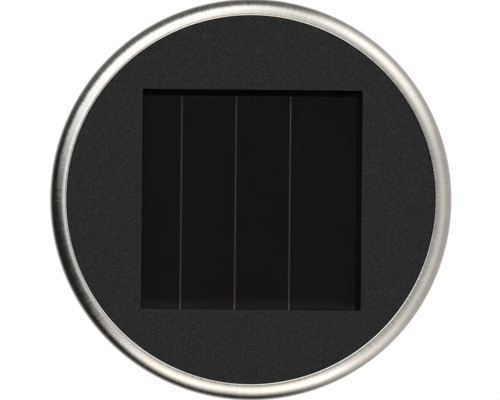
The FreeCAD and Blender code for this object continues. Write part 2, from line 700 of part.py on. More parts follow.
def battery_door():
    """Door in the floor, hinged on two pins along its inner edge, with saddles that carry the battery."""
    outer = BIN_OUTER_Y + DOOR_GAP
    half = BIN_HALF_LENGTH - DOOR_GAP
    plate = fused(
        block(-half, half, outer, DOOR_AXIS_Y - DOOR_BACK, HEAD_BOTTOM, HEAD_BOTTOM + DOOR_THICK),
        block(-DOOR_HALF_BARREL, DOOR_HALF_BARREL, outer, DOOR_AXIS_Y, HEAD_BOTTOM + 0.2, HEAD_BOTTOM + DOOR_THICK))
    barrel = bar(DOOR_BARREL, -DOOR_HALF_BARREL, DOOR_HALF_BARREL, DOOR_AXIS_Y, DOOR_AXIS_Z)
    pins = bar(DOOR_PIN, -DOOR_HALF_BARREL - 2.2, DOOR_HALF_BARREL + 2.2, DOOR_AXIS_Y, DOOR_AXIS_Z)
    around = bar(BATTERY_RADIUS + 0.2, -half, half, BATTERY_Y, BATTERY_Z)
    saddles = [block(x - 0.8, x + 0.8, outer + 2, DOOR_AXIS_Y - DOOR_BACK, HEAD_BOTTOM + DOOR_THICK, BATTERY_Z - 4.6)
               for x in (-DOOR_RIB_X, 0, DOOR_RIB_X)]
    latch = block(-4, 4, outer, outer + 1.2, HEAD_BOTTOM + DOOR_THICK, HEAD_BOTTOM + 4.4)
    grip = block(-5, 5, outer, outer + 1.6, HEAD_BOTTOM, HEAD_BOTTOM + 0.8)
    body = fused(plate, barrel, pins, latch, *[saddle.cut(around) for saddle in saddles])
    return without(body, grip)


# Board, light and switch

def circuit_board():
    board = block(-BOARD_HALF_WIDTH, BOARD_HALF_WIDTH, *BOARD_Y, PCB_BOTTOM, PCB_TOP)
    corners = [edge for edge in board.Edges if abs(edge.Vertexes[0].Z - edge.Vertexes[-1].Z) > 1]
    board = board.makeFillet(1.5, corners)
    screw_holes = [post(1.1, PCB_BOTTOM, PCB_TOP, x, POST_Y[1]) for x in (-POST_X, POST_X)]
    led_holes = [post(LED_LEAD + 0.1, PCB_BOTTOM, PCB_TOP, x, 0) for x in (-1.27, 1.27)]
    return without(board, *screw_holes, *led_holes)


def board_screws():
    """Two small screws down through the board into their posts."""
    screws = []
    for x in (-POST_X, POST_X):
        shank = post(0.75, PCB_BOTTOM - 3.5, PCB_TOP, x, POST_Y[1])
        head = post(1.9, PCB_TOP, PCB_TOP + 1.2, x, POST_Y[1])
        screws.append(fused(shank, head.makeFillet(0.6, [head.Edges[0]])))
    return Part.makeCompound(screws)


def led():
    """Round five millimetre lamp that points down, with its two leads in the board."""
    flange_bottom = PCB_BOTTOM - 1
    dome_z = flange_bottom - LED_BODY + LED_RADIUS
    lamp = turned((0, PCB_BOTTOM), (LED_FLANGE, PCB_BOTTOM), (LED_FLANGE, flange_bottom), (LED_RADIUS, flange_bottom),
                  (LED_RADIUS, dome_z), (*on_circle((0, dome_z), LED_RADIUS, 135), 0, dome_z - LED_RADIUS))
    leads = [post(LED_LEAD, PCB_BOTTOM, PCB_TOP + 0.8, x, 0) for x in (-1.27, 1.27)]
    return fused(lamp, *leads)


def reflector():
    """Small bright bowl round the lamp, its flange on the floor."""
    throat_z = PCB_BOTTOM - 1.6
    sag = (REFLECTOR_MOUTH + REFLECTOR_THROAT) / 2 + 0.9
    middle = (throat_z + HEAD_BOTTOM) / 2 + 0.7
    wall = REFLECTOR_WALL
    mouth = REFLECTOR_MOUTH - wall
    return turned(
        (mouth, HEAD_BOTTOM), (REFLECTOR_MOUTH, HEAD_BOTTOM), (REFLECTOR_MOUTH, FLOOR_TOP),
        (REFLECTOR_FLANGE, FLOOR_TOP), (REFLECTOR_FLANGE, FLOOR_TOP + wall),
        (REFLECTOR_MOUTH - 0.2, FLOOR_TOP + wall), (REFLECTOR_THROAT + wall + 0.4, throat_z),
        (REFLECTOR_THROAT, throat_z), (sag - wall, middle, mouth, HEAD_BOTTOM))


def switch_body():
    """Slide switch under the board, open below where its knob runs."""
    long, wide, tall = SWITCH_SIZE
    can = block(-long / 2, long / 2, SWITCH_Y - wide / 2, SWITCH_Y + wide / 2, PCB_BOTTOM - tall, PCB_BOTTOM)
    run, gap = KNOB_SIZE[0] + KNOB_TRAVEL + 2 * KNOB_GAP, KNOB_SIZE[1] / 2 + KNOB_GAP
    slot = block(-run / 2, run / 2, SWITCH_Y - gap, SWITCH_Y + gap, PCB_BOTTOM - tall, PCB_BOTTOM - 1.2)
    return without(can, slot)


def switch_knob():
    """Knob at the off end of its travel; the on end is at +X."""
    x0 = -(KNOB_SIZE[0] + KNOB_TRAVEL) / 2
    half = KNOB_SIZE[1] / 2
    knob = block(x0, x0 + KNOB_SIZE[0], SWITCH_Y - half, SWITCH_Y + half, HEAD_BOTTOM - KNOB_PROUD, PCB_BOTTOM - 1.6)
    low = [edge for edge in knob.Edges if edge.BoundBox.ZMax < HEAD_BOTTOM]
    return knob.makeFillet(0.4, low)


def led_driver():
    """Flat four-lead driver chip that stands on the board."""
    y = 10.0
    body = block(-2.6, 2.6, y - 0.8, y + 0.8, PCB_TOP + 2.2, PCB_TOP + 6.0)
    legs = [block(x - 0.22, x + 0.22, y - 0.2, y + 0.2, PCB_TOP, PCB_TOP + 2.2) for x in (-1.9, -0.63, 0.63, 1.9)]
    return fused(body, *legs)


def inductor():
    """Drum inductor on two leads, lying along X."""
    y, z = 17.5, PCB_TOP + 2.0
    body = turned((0, -3.6), (1.6, -3.6), (1.9, -3.3), (1.9, -2.4), (1.5, -1.8), (1.5, 1.8), (1.9, 2.4),
                  (1.9, 3.3), (1.6, 3.6), (0, 3.6))
    body.rotate(ORIGIN, Vector(0, 1, 0), 90)
    body.translate(Vector(-9, y, z))
    leads = [wire_along([(-9 + s * 3.4, y, z), (-9 + s * 5.4, y, z), (-9 + s * 5.4, y, PCB_TOP)], 0.3, 0.8)
             for s in (-1, 1)]
    return fused(body, *leads)


def capacitor():
    """Disc capacitor on edge."""
    x, y = 11.0, 17.5
    disc = Part.makeCylinder(2.6, 1.8, Vector(x, y - 0.9, PCB_TOP + 4.0), Vector(0, 1, 0))
    disc = disc.makeFillet(0.8, [edge for edge in disc.Edges if edge.Curve.TypeId == "Part::GeomCircle"])
    legs = [post(0.25, PCB_TOP, PCB_TOP + 3.0, x + dx, y) for dx in (-1.3, 1.3)]
    return fused(disc, *legs)


# Leads inside the head

def battery_lead_x():
    return BIN_HALF_LENGTH - 5.0


def battery_lead_y():
    return BIN_INNER_Y - 2.0


def leads(sign, panel_place):
    """A panel lead down to the board, and a battery lead from its contact, through a notch, to the board."""
    x, y = panel_place
    panel_end = POCKET_FLOOR + FOAM_THICK
    turn_z = PCB_TOP + 5.5
    panel_lead = wire_along([(x, y, panel_end), (x, y, turn_z), (x + sign * 9, y - 4, turn_z),
                             (x + sign * 9, y - 4, PCB_TOP)], WIRE_RADIUS, WIRE_BEND)
    end_x = sign * (BIN_HALF_LENGTH - CONTACT_THICK)
    lead_x = sign * battery_lead_x()
    notch_z = POCKET_UNDER - BIN_ROOF_GAP - BIN_ROOF - 2.0
    tab_z = BATTERY_Z + 2.8
    battery_lead = wire_along([(end_x, battery_lead_y() - 1.2, tab_z), (lead_x, battery_lead_y() - 1.2, tab_z),
                               (lead_x, battery_lead_y() - 1.2, notch_z), (lead_x, -5.5, notch_z),
                               (sign * 15, -5.5, notch_z), (sign * 15, -5.5, PCB_TOP)], WIRE_RADIUS, 1.2)
    return Part.makeCompound([panel_lead, battery_lead])


def positive_leads():
    return leads(1, lead_places()[0])


def negative_leads():
    return leads(-1, lead_places()[1])


PIECES = (
    ground_spike, pole, lens_base, lens, cone_reflector, seal_ring,
    rim_shell, top_housing, lower_housing, housing_screws,
    panel_foam, panel_board, solar_cells, panel_cover,
    battery, battery_contact, spring_plate, battery_spring, battery_door,
    circuit_board, board_screws, led, reflector, switch_body, switch_knob,
    led_driver, inductor, capacitor, positive_leads, negative_leads,
)


def main():
    os.makedirs("parts", exist_ok=True)
    for piece in PIECES:
        shape = piece()
        if not shape.isValid() or not shape.Solids:
            raise RuntimeError(piece.__name__ + " is not a sound solid")
        shape.exportStep("parts/" + piece.__name__ + ".step")
        print(piece.__name__, len(shape.Solids), round(shape.Volume, 1))


main()
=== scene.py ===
"""Looks of a solar path light: a head with a steel rim and a solar panel, a fluted lens, a pole and a spike.

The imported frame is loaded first. A piece made here sits where the frame's solid sits and rides on its body.
Metres, +Z up, with the origin at ground level on the lamp's axis.
"""

import math
from collections import namedtuple
from functools import cache

import bmesh
import bpy
import numpy as np
from bpy.props import FloatProperty, FloatVectorProperty, IntProperty, PointerProperty
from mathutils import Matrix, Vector


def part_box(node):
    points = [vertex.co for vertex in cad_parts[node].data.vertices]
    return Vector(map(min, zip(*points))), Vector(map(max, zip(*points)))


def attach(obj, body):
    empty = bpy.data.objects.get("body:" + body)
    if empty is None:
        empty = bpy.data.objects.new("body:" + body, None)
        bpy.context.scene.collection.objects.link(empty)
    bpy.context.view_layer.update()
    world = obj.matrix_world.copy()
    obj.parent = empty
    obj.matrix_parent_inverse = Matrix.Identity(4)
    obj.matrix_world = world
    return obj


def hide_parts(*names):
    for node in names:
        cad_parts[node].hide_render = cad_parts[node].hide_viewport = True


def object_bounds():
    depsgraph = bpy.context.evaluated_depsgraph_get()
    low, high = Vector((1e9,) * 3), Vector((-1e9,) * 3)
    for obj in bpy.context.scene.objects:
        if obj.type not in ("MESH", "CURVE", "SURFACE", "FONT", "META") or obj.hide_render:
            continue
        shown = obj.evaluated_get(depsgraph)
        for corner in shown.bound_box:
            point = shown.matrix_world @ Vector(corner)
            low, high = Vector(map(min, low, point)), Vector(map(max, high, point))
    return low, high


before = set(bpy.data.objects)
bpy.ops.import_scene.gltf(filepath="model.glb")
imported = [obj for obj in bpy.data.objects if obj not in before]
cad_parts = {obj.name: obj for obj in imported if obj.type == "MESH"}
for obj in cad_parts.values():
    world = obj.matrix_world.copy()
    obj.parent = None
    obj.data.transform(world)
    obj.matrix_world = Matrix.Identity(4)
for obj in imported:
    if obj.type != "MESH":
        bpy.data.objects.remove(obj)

bl_info = {
    "name": "Solar Path Light",
    "version": (1, 0, 0),
    "blender": (4, 5, 0),
    "location": "3D View > Sidebar > Path Light",
    "description": "Makes the surfaces, finishes and studio of a solar path light",
    "category": "Object",
}

MM = 0.001
CAD_BOX = [list(corner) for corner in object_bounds()]
BOXES = {node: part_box(node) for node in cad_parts}

# Fineness of the meshes
ARC_STEP = math.radians(6)
ROUND_SIDES = 192
FINE_SIDES = 480
SHARP_ANGLE = math.radians(38)
FLAT_ANGLE = math.radians(0.5)
ARC_MARGIN = 0.4
FREE_SHARE = 0.25
MERGE = 1e-7
CAD_MERGE = 1e-6
WELD = 0.02 * MM


def low(node):
    """Lowest corner of a node at rest."""
    return BOXES[node][0]


def high(node):
    """Highest corner of a node at rest."""
    return BOXES[node][1]


def middle(node):
    """Centre of a node's box at rest."""
    return (low(node) + high(node)) / 2


# Settings that a user may change

def length(label, millimetres, lowest=0.0):
    """Length setting, given in millimetres and kept in metres."""
    return FloatProperty(name=label, description=f"{label}, {millimetres:g} mm on this lamp",
                         default=millimetres * MM, min=lowest, unit="LENGTH", precision=5)


def angle(label, degrees):
    """Angle setting, given in degrees."""
    return FloatProperty(name=label, description=f"{label}, {degrees:g} degrees on this lamp",
                         default=math.radians(degrees), subtype="ANGLE")


def tone(label, *colour):
    """Colour setting."""
    return FloatVectorProperty(name=label, description=f"{label}, as a linear colour", default=colour, size=3,
                               min=0.0, max=1.0, subtype="COLOR")


def level(label, value):
    """Plain number setting."""
    return FloatProperty(name=label, description=f"{label}, {value:g} on this lamp", default=value, min=0.0)


class HeadSizes(bpy.types.PropertyGroup):
    """Sizes of the head's shells"""
    rim_inner: length("Inner radius of the rim's lip", 54.85)
    rim_lip: length("Rounding of the rim's lip", 0.45)
    rim_sheet: length("Thickness of the rim's steel", 0.45)
    rim_clearance: length("Step of the plate under the rim's lip", 0.3)
    lip_groove: length("Groove in the plate along the rim's lip", 0.22)
    hem_round: length("Outer rounding at the rim's foot", 1.6)
    hem_inner: length("Inner radius of the rim's hem", 57.0)
    plate_thick: length("Thickness of the top plate", 2.2)
    skirt_wall: length("Wall of the top plate's skirt", 1.6)
    pocket_width: length("Pocket for the panel, left to right", 65.4)
    pocket_length: length("Pocket for the panel, front to back", 65.6)
    pocket_right: length("Pocket's centre to the right of the axis", 0.3, lowest=-1.0)
    pocket_back: length("Pocket's centre behind the axis", -0.05, lowest=-1.0)
    pocket_depth: length("Depth of the pocket", 4.4)
    pocket_wall: length("Wall of the tray under the pocket", 1.6)
    pocket_edge: length("Rounding of the pocket's upper edge", 0.15)
    pocket_corner: length("Rounding of the pocket's corners", 0.4)
    pocket_ragged: length("Unevenness of the pocket's left edge", 0.07)
    screw_circle: length("Radius on which the screws stand", 51.7)
    boss_radius: length("Outer radius of a screw boss", 3.4)
    boss_bore: length("Hole of a screw boss", 1.5)
    cover_edge: length("Rounding of the panel cover's edge", 0.15)
    cover_lift: length("Air under the cover", 0.03)
    cover_droop: length("How far the cover falls away at its front edge", 0.035)
    cover_fall: length("Width of the strip that falls away", 3.2)
    bevel: length("Rounding of moulded edges", 0.22)


class LensSizes(bpy.types.PropertyGroup):
    """Sizes of the lens, its base, its cone and the pole"""
    foot: length("Outer radius of the lens at its foot", 36.0)
    mouth: length("Outer radius of the lens at its top band", 44.0)
    shoulder: length("Step below the top band", 0.3)
    wall: length("Wall of the lens", 2.4)
    band: length("Height of the smooth top band", 9.0)
    flutes: IntProperty(name="Flutes", description="Upright flutes inside the lens", default=36, min=3)
    flute_depth: length("How far a flute bulges inward", 0.8)
    lug_half: angle("Half the angle of a bayonet lug", 5)
    lug_reach: length("How far a lug stands out", 1.8)
    lug_height: length("Height of a lug", 2.4)
    lug_below_top: length("From the top of the lens to a lug", 1.1)
    socket_gap: length("Gap between the pole and its socket", 0.15)
    socket_wall: length("Wall of the socket", 3.0)
    flare_inner: length("Radius where the base begins to flare", 16.4)
    flare_round: length("Rounding of the trumpet", 22.0)
    flare_wall: length("Wall of the trumpet", 2.2)
    stop_thick: length("Plate that the pole stops against", 2.4)
    rim_height: length("Rim of the base round the lens", 6.0)
    cone_flat: length("Flat flange round the cone", 6.0)
    cone_wall: length("Sheet of the cone", 1.0)
    cone_tip: length("Rounding of the cone's tip", 1.2)
    pole_wall: length("Wall of the steel pole", 0.6)
    seal_inset: length("How much narrower the seal is than the lens's wall", 0.1)


class FittingSizes(bpy.types.PropertyGroup):
    """Sizes of the battery, the lamp and the fasteners"""
    nub_radius: length("Radius of the battery's positive end", 2.7)
    nub_length: length("Length of the battery's positive end", 1.5)
    crimp_depth: length("Depth of the groove round the battery", 0.35)
    spring_wire: length("Radius of the spring's wire", 0.3)
    spring_wide: length("Radius of the spring's widest turn", 4.6)
    spring_narrow: length("Radius of the spring's narrowest turn", 2.2)
    spring_turns: level("Turns of the spring", 2.5)
    led_radius: length("Radius of the lamp's dome", 2.5)
    led_flange: length("Radius of the lamp's flange", 2.9)
    led_rise: length("Height of the lamp's flange", 1.0)
    led_lead: length("Radius of the lamp's leads", 0.25)
    led_pitch: length("Distance between the lamp's leads", 2.54)
    bowl_mouth: length("Radius of the reflector's mouth", 8.5)
    bowl_throat: length("Radius of the reflector's throat", 3.1)
    bowl_wall: length("Wall of the reflector", 0.8)
    bowl_rise: length("How far the reflector's curve stands off a straight line", 0.86)
    screw_head: length("Head radius of a housing screw", 2.7)
    screw_rise: length("Head height of a housing screw", 1.8)
    screw_shank: length("Shank radius of a housing screw", 1.45)
    small_head: length("Head radius of a board screw", 1.9)
    small_rise: length("Head height of a board screw", 1.2)
    small_shank: length("Shank radius of a board screw", 0.75)


class FinishColours(bpy.types.PropertyGroup):
    """Colours of the finishes"""
    steel_light: tone("Light streaks of the brushed steel", 0.71, 0.70, 0.67)
    steel_dark: tone("Dark streaks of the brushed steel", 0.655, 0.645, 0.615)
    plate: tone("Grained plastic of the top plate", 0.0103, 0.0119, 0.0117)
    body: tone("Satin plastic of the body", 0.016, 0.017, 0.017)
    spike: tone("Plastic of the spike", 0.015, 0.0155, 0.0155)
    clear: tone("Clear plastic of the lens", 0.97, 0.985, 0.98)
    plating: tone("Bright plating", 0.86, 0.86, 0.85)
    rubber: tone("Rubber of the seal", 0.014, 0.014, 0.014)
    zinc: tone("Zinc of the screws", 0.60, 0.60, 0.58)
    foam: tone("Foam under the panel", 0.60, 0.60, 0.57)
    backing: tone("Board that shows between the cells", 0.170, 0.154, 0.142)
    silicon: tone("Dark film of the cells", 0.0089, 0.0063, 0.0071)
    resin: tone("Clear sheet over the cells", 0.01, 0.01, 0.01)
    sleeve: tone("Plain sleeve of the battery", 0.10, 0.24, 0.14)
    nickel: tone("Nickel of the contacts and the spring", 0.66, 0.64, 0.60)
    mask: tone("Solder mask of the circuit board", 0.02, 0.12, 0.05)
    copper: tone("Copper tracks under the mask", 0.06, 0.24, 0.09)
    lamp: tone("Clear resin of the lamp", 0.95, 0.93, 0.80)
    phosphor: tone("Root of the lamp", 0.9, 0.75, 0.25)
    tin: tone("Tin of the switch's can", 0.60, 0.60, 0.60)
    knob: tone("Plastic of the switch's knob", 0.03, 0.03, 0.03)
    chip: tone("Resin of the driver chip", 0.018, 0.018, 0.019)
    choke: tone("Coating of the inductor", 0.10, 0.28, 0.18)
    ceramic: tone("Coating of the capacitor", 0.50, 0.25, 0.08)
    red: tone("Insulation of the positive leads", 0.45, 0.03, 0.03)
    black: tone("Insulation of the negative leads", 0.02, 0.02, 0.02)


class StudioSettings(bpy.types.PropertyGroup):
    """Camera, floor and light"""
    camera_distance: length("From the camera to the widest part of the rim", 1200.0)
    view_width: length("Width of the picture at the widest part of the rim", 149.45)
    view_right: length("Camera to the right of the axis", -0.22, lowest=-1.0)
    view_up: length("Camera above the axis in the picture", -0.10, lowest=-1.0)
    roll: angle("Turn of the camera about its line of sight", 0.55)
    sky: level("Even light from all round", 0.5)
    lamp_power: level("Watts of the soft lamp overhead", 24.0)
    floor: tone("Pale floor", 0.95, 0.95, 0.95)
    floor_glow: level("Share of the floor's white that takes no shadow", 0.96)


# Shapes as grids of points

def unit(rows):
    """Rows brought to length 1."""
    return rows / np.linalg.norm(rows, axis=-1, keepdims=True)


def rounded(corners):
    """Outline through corners (across, up, rounding), each replaced by an arc tangent to both of its sides.

    The arc's centre lies on the corner's bisector, rounding / sin(half the corner's angle) from the corner. A
    point just before and just after each arc keeps the straight stretch between two arcs flat in the shading.
    """
    corners = np.array(corners, float)
    points, radii = corners[:, :2], corners[:, 2]
    sides = np.linalg.norm(np.roll(points, -1, axis=0) - points, axis=1)
    back = unit(np.roll(points, 1, axis=0) - points)
    ahead = unit(np.roll(points, -1, axis=0) - points)
    half = np.arccos(np.clip((back * ahead).sum(axis=1), -1, 1)) / 2
    reach = radii / np.tan(half)
    free = np.maximum(sides - reach - np.roll(reach, -1), 0)
    outline = []
    for i, (point, radius) in enumerate(zip(points, radii)):
        if radius == 0:
            outline.append(point[None])
            continue
        centre = point + unit(back[i] + ahead[i]) * radius / math.sin(half[i])
        first = point + back[i] * reach[i] - centre
        last = point + ahead[i] * reach[i] - centre
        turn = math.pi - 2 * half[i]
        share = np.linspace(0, 1, max(3, math.ceil(turn / ARC_STEP)) + 1)[:, None]
        arc = centre + (first * np.sin((1 - share) * turn) + last * np.sin(share * turn)) / math.sin(turn)
        before = arc[:1] + back[i] * min(ARC_MARGIN * radius, FREE_SHARE * free[i - 1])
        after = arc[-1:] + ahead[i] * min(ARC_MARGIN * radius, FREE_SHARE * free[i])
        outline += [before, arc, after]
    return np.concatenate(outline)


def bow(start, end, rise, count=28):
    """Arc from start to end whose middle stands off the chord by rise, to the left of the way along it."""
    start, end = np.array(start, float), np.array(end, float)
    chord = math.dist(start, end)
    along = (end - start) / chord
    across = np.array([-along[1], along[0]])
    half = 2 * math.atan(2 * rise / chord)
    radius = chord / (2 * math.sin(half))
    angles = half * np.linspace(-1, 1, count)[:, None]
    lift = radius * (np.cos(angles) - math.cos(half))
    return (start + end) / 2 + along * radius * np.sin(angles) + across * lift


def rise_of(start, end, radius):
    """How far an arc of a radius stands off its chord."""
    half_chord = math.dist(start, end) / 2
    return radius - math.sqrt(radius ** 2 - half_chord ** 2)


def closed(outline):
    """Outline that ends where it starts."""
    return np.concatenate([outline, outline[:1]])


def whole_turn(count):
    """Angles of a whole turn, the last on the first."""
    return np.linspace(0, 2 * math.pi, count + 1)


def polar(radius, angles, z):
    """Points at (r cos a, r sin a, z)."""
    return np.stack([radius * np.cos(angles), radius * np.sin(angles), z + 0 * angles], axis=-1)


def turned(outline, angles):
    """Surface of revolution: each point (r, z) of the outline is taken round the Z axis."""
    return polar(outline[:, :1], angles, outline[:, 1:])


def sleeve(node, wall, soft):
    """Straight ring of a node's outer radius and height with four rounded edges, turned about Z."""
    bottom, top, outer = low(node).z, high(node).z, high(node).x
    inner = outer - wall
    outline = rounded([(inner, bottom, soft), (outer, bottom, soft), (outer, top, soft), (inner, top, soft)])
    return turned(closed(outline), whole_turn(ROUND_SIDES))


def laid_along_x(grid, y, z):
    """A surface turned about Z, laid down so that its axis runs along X at (y, z)."""
    return np.stack([grid[..., 2], grid[..., 0] + y, grid[..., 1] + z], axis=-1)


def tube(path, radius, sides=16):
    """Round section carried along a path about X: centre + radius (cos a * side + sin a * up), ends closed.

    side is square to the path and to X, and up is square to both, so the section doesn't twist.
    """
    ahead = unit(np.gradient(path, axis=0))
    side = unit(np.cross(ahead, [1.0, 0.0, 0.0]))
    up = np.cross(side, ahead)
    angles = whole_turn(sides)[None, :, None]
    rings = path[:, None] + radius * (np.cos(angles) * side[:, None] + np.sin(angles) * up[:, None])
    ends = [np.broadcast_to(point, rings[:1].shape) for point in path[[0, -1]]]
    return np.concatenate([ends[0], rings, ends[1]])


def square_ring(half_x, half_y, corner, side_steps, corner_steps=5):
    """Closed ring of points on a rectangle with rounded corners, counter-clockwise from the right side."""
    arcs = []
    for quarter, (sx, sy) in enumerate(((1, 1), (-1, 1), (-1, -1), (1, -1))):
        angles = math.pi / 2 * (quarter + np.linspace(0, 1, corner_steps + 1))
        arcs.append(np.stack([sx * (half_x - corner) + corner * np.cos(angles),
                              sy * (half_y - corner) + corner * np.sin(angles)], axis=-1))
    share = np.linspace(0, 1, side_steps + 1)[1:-1, None]
    stretches = []
    for arc, following in zip(arcs, arcs[1:] + arcs[:1]):
        stretches += [arc, arc[-1] * (1 - share) + following[0] * share]
    return closed(np.concatenate(stretches))


def at_height(ring, z):
    """Flat ring of points lifted to a height, which may be one number or one for each point."""
    return np.column_stack([ring, np.broadcast_to(z, len(ring))])


def edge_steps(edge, top, count):
    """Steps (outward, height) up a quarter round edge: edge (1 - cos t) out at top - edge (1 - sin t)."""
    tilts = np.linspace(0, math.pi / 2, count)
    return [(edge * (1 - math.cos(tilt)), top - edge * (1 - math.sin(tilt))) for tilt in tilts]


def step_up(value, start, end):
    """Smooth step from 0 at start to 1 at end."""
    share = np.clip((value - start) / (end - start), 0, 1)
    return share * share * (3 - 2 * share)


def faces_of(grid, first=0):
    """Quads between neighbouring points of a grid whose points are counted from first."""
    rows, columns = grid.shape[:2]
    index = np.arange(rows * columns).reshape(rows, columns) + first
    quads = [index[:-1, :-1], index[:-1, 1:], index[1:, 1:], index[1:, :-1]]
    return np.stack(quads, axis=-1).reshape(-1, 4)


def joined(*grids):
    """Points and quads of several grids as one list of each."""
    starts = np.cumsum([0] + [grid.size // 3 for grid in grids])
    points = np.concatenate([grid.reshape(-1, 3) for grid in grids])
    return points, np.concatenate([faces_of(grid, first) for grid, first in zip(grids, starts)])


def smooth_mesh(mesh, shell):
    """Mesh filled from an edited shell, shaded smooth but for its sharp edges."""
    shell.to_mesh(mesh)
    shell.free()
    if "custom_normal" in mesh.attributes:
        mesh.attributes.remove(mesh.attributes["custom_normal"])
    mesh.shade_smooth()
    mesh.set_sharp_from_angle(angle=SHARP_ANGLE)
    return mesh


def mesh_of(name, *grids):
    """Mesh of one or more grids: points that meet are merged and faces turned outward."""
    mesh = bpy.data.meshes.new(name)
    points, faces = joined(*grids)
    mesh.from_pydata(points, [], faces)
    shell = bmesh.new()
    shell.from_mesh(mesh)
    bmesh.ops.remove_doubles(shell, verts=shell.verts, dist=MERGE)
    bmesh.ops.dissolve_degenerate(shell, edges=shell.edges, dist=MERGE)
    bmesh.ops.recalc_face_normals(shell, faces=shell.faces)
    return smooth_mesh(mesh, shell)


def copy_of(node):
    """Mesh of a node's solid with its corners merged and its flat faces joined."""
    shell = bmesh.new()
    shell.from_mesh(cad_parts[node].data)
    bmesh.ops.remove_doubles(shell, verts=shell.verts, dist=CAD_MERGE)
    bmesh.ops.dissolve_limit(shell, angle_limit=FLAT_ANGLE, verts=shell.verts, edges=shell.edges)
    return smooth_mesh(bpy.data.meshes.new(node), shell)


def placed(name, data):
    """Object at the origin of the scene."""
    piece = bpy.data.objects.new(name, data)
    bpy.context.scene.collection.objects.link(piece)
    return piece


def add_piece(name, mesh, finish, body, node):
    """Piece that rides on a body and stands for a node."""
    piece = placed(name, mesh)
    mesh.materials.clear()
    mesh.materials.append(finish)
    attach(piece, body)
    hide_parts(node)
    return piece


def add_made(name, grids, finish, body, node):
    """Piece made of grids of points."""
    return add_piece(name, mesh_of(name, *grids), finish, body, node)


def add_copy(node, finish, body, edge=0.0):
    """Piece that is a node's own solid, its edges softened when an edge width is given."""
    piece = add_piece(node + "_moulded", copy_of(node), finish, body, node)
    if edge:
        bevel = piece.modifiers.new("soft_edges", "BEVEL")
        bevel.width = edge
        bevel.segments = 2
        bevel.limit_method = "ANGLE"
        bevel.angle_limit = SHARP_ANGLE
        bevel.miter_outer = "MITER_ARC"
        bevel.harden_normals = True
        weld = piece.modifiers.new("joined_points", "WELD")
        weld.merge_threshold = WELD


def coat(node, finish):
    """Give a node that stays as it is its finish."""
    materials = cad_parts[node].data.materials
    materials.clear()
    materials.append(finish)


# Finishes

class Nodes:
    """Short ways to add nodes to a node tree."""

    def __init__(self, tree):
        self.tree = tree

    def put(self, socket, value):
        """Link a socket to another node's output, or set it to a plain value or colour."""
        if isinstance(value, bpy.types.NodeSocket):
            self.tree.links.new(value, socket)
        elif socket.type == "RGBA":
            socket.default_value = (*value, 1.0)
        else:
            socket.default_value = value

    def fill(self, node, **inputs):
        """Fill a node's inputs by name, with underscores for spaces."""
        for name, value in inputs.items():
            self.put(node.inputs[name.replace("_", " ")], value)
        return node

    def add(self, kind, *values, operation=None, **inputs):
        """New node whose first inputs take values in order, and others by name."""
        node = self.tree.nodes.new("ShaderNode" + kind)
        if operation:
            node.operation = operation
        for socket, value in zip(node.inputs, values):
            self.put(socket, value)
        return self.fill(node, **inputs)

    def maths(self, operation, first, second):
        """Math node."""
        return self.add("Math", first, second, operation=operation).outputs[0]

    def times(self, first, second):
        """Product of two values."""
        return self.maths("MULTIPLY", first, second)

    def blend(self, first, second, share):
        """Sum of two values, the second having a share of it."""
        return self.maths("ADD", self.times(first, 1 - share), self.times(second, share))

    def tint(self, share, first, second):
        """Colour between two colours."""
        node = self.add("Mix")
        node.data_type = "RGBA"
        for number, value in ((0, share), (6, first), (7, second)):
            self.put(node.inputs[number], value)
        return node.outputs[2]

    def mixed(self, share, first, second):
        """Mix of two shaders."""
        return self.add("MixShader", share, first, second).outputs[0]

    def shown_rays(self):
        """1 for rays from the camera, a mirror or clear plastic, else 0."""
        rays = self.add("LightPath").outputs
        either = self.maths("MAXIMUM", rays["Is Camera Ray"], rays["Is Glossy Ray"])
        return self.maths("MAXIMUM", either, rays["Is Transmission Ray"])


class Finish(Nodes):
    """Material with one shader; textures read the piece's own coordinates, in metres."""

    def __init__(self, name, colour, roughness, **sockets):
        self.material = bpy.data.materials.new(name)
        self.material.use_nodes = True
        super().__init__(self.material.node_tree)
        self.place = self.add("TexCoord").outputs["Object"]
        self.paint(Base_Color=colour, Roughness=roughness, **sockets)

    def paint(self, **sockets):
        """Fill the shader's inputs."""
        self.fill(self.tree.nodes["Principled BSDF"], **sockets)

    def vector(self, operation, *values, **inputs):
        """Vector Math node."""
        node = self.add("VectorMath", *values, operation=operation, **inputs)
        return node.outputs["Value" if operation in ("LENGTH", "DOT_PRODUCT") else "Vector"]

    def grain(self, size, detail=2.0, roughness=0.5, place=None):
        """Cloudy noise whose lumps are about size metres across."""
        return self.add("TexNoise", Vector=place or self.place, Scale=1 / size, Detail=detail,
                        Roughness=roughness).outputs["Fac"]

    def cells(self, size, feature="F1", randomness=1.0):
        """Cell noise whose cells are about size metres across."""
        node = self.add("TexVoronoi")
        node.feature = feature
        self.fill(node, Vector=self.place, Scale=1 / size, Randomness=randomness)
        return node.outputs["Distance"]

    def part_of(self, axis):
        """One coordinate of the place."""
        return self.add("SeparateXYZ", self.place).outputs[axis]

    def between(self, value, start, end, low_value=0.0, high_value=1.0):
        """Value brought from one span to another, held at its ends."""
        return self.add("MapRange", Value=value, From_Min=start, From_Max=end, To_Min=low_value,
                        To_Max=high_value).outputs["Result"]

    def spread(self, noise, low_value, high_value):
        """Middle span of a noise brought to two values."""
        return self.between(noise, 0.3, 0.7, low_value, high_value)

    def mottle(self, share, colour, dark, light):
        """Colour between a darker and a lighter shade of it."""
        return self.tint(share, shade(colour, dark), shade(colour, light))

    def relief(self, height, depth, strength=1.0):
        """Bump of a depth in metres."""
        bump = self.add("Bump", Height=height, Distance=depth, Strength=strength)
        self.paint(Normal=bump.outputs["Normal"])


def shade(colour, factor):
    """Colour made darker or lighter."""
    return tuple(min(1.0, part * factor) for part in colour)


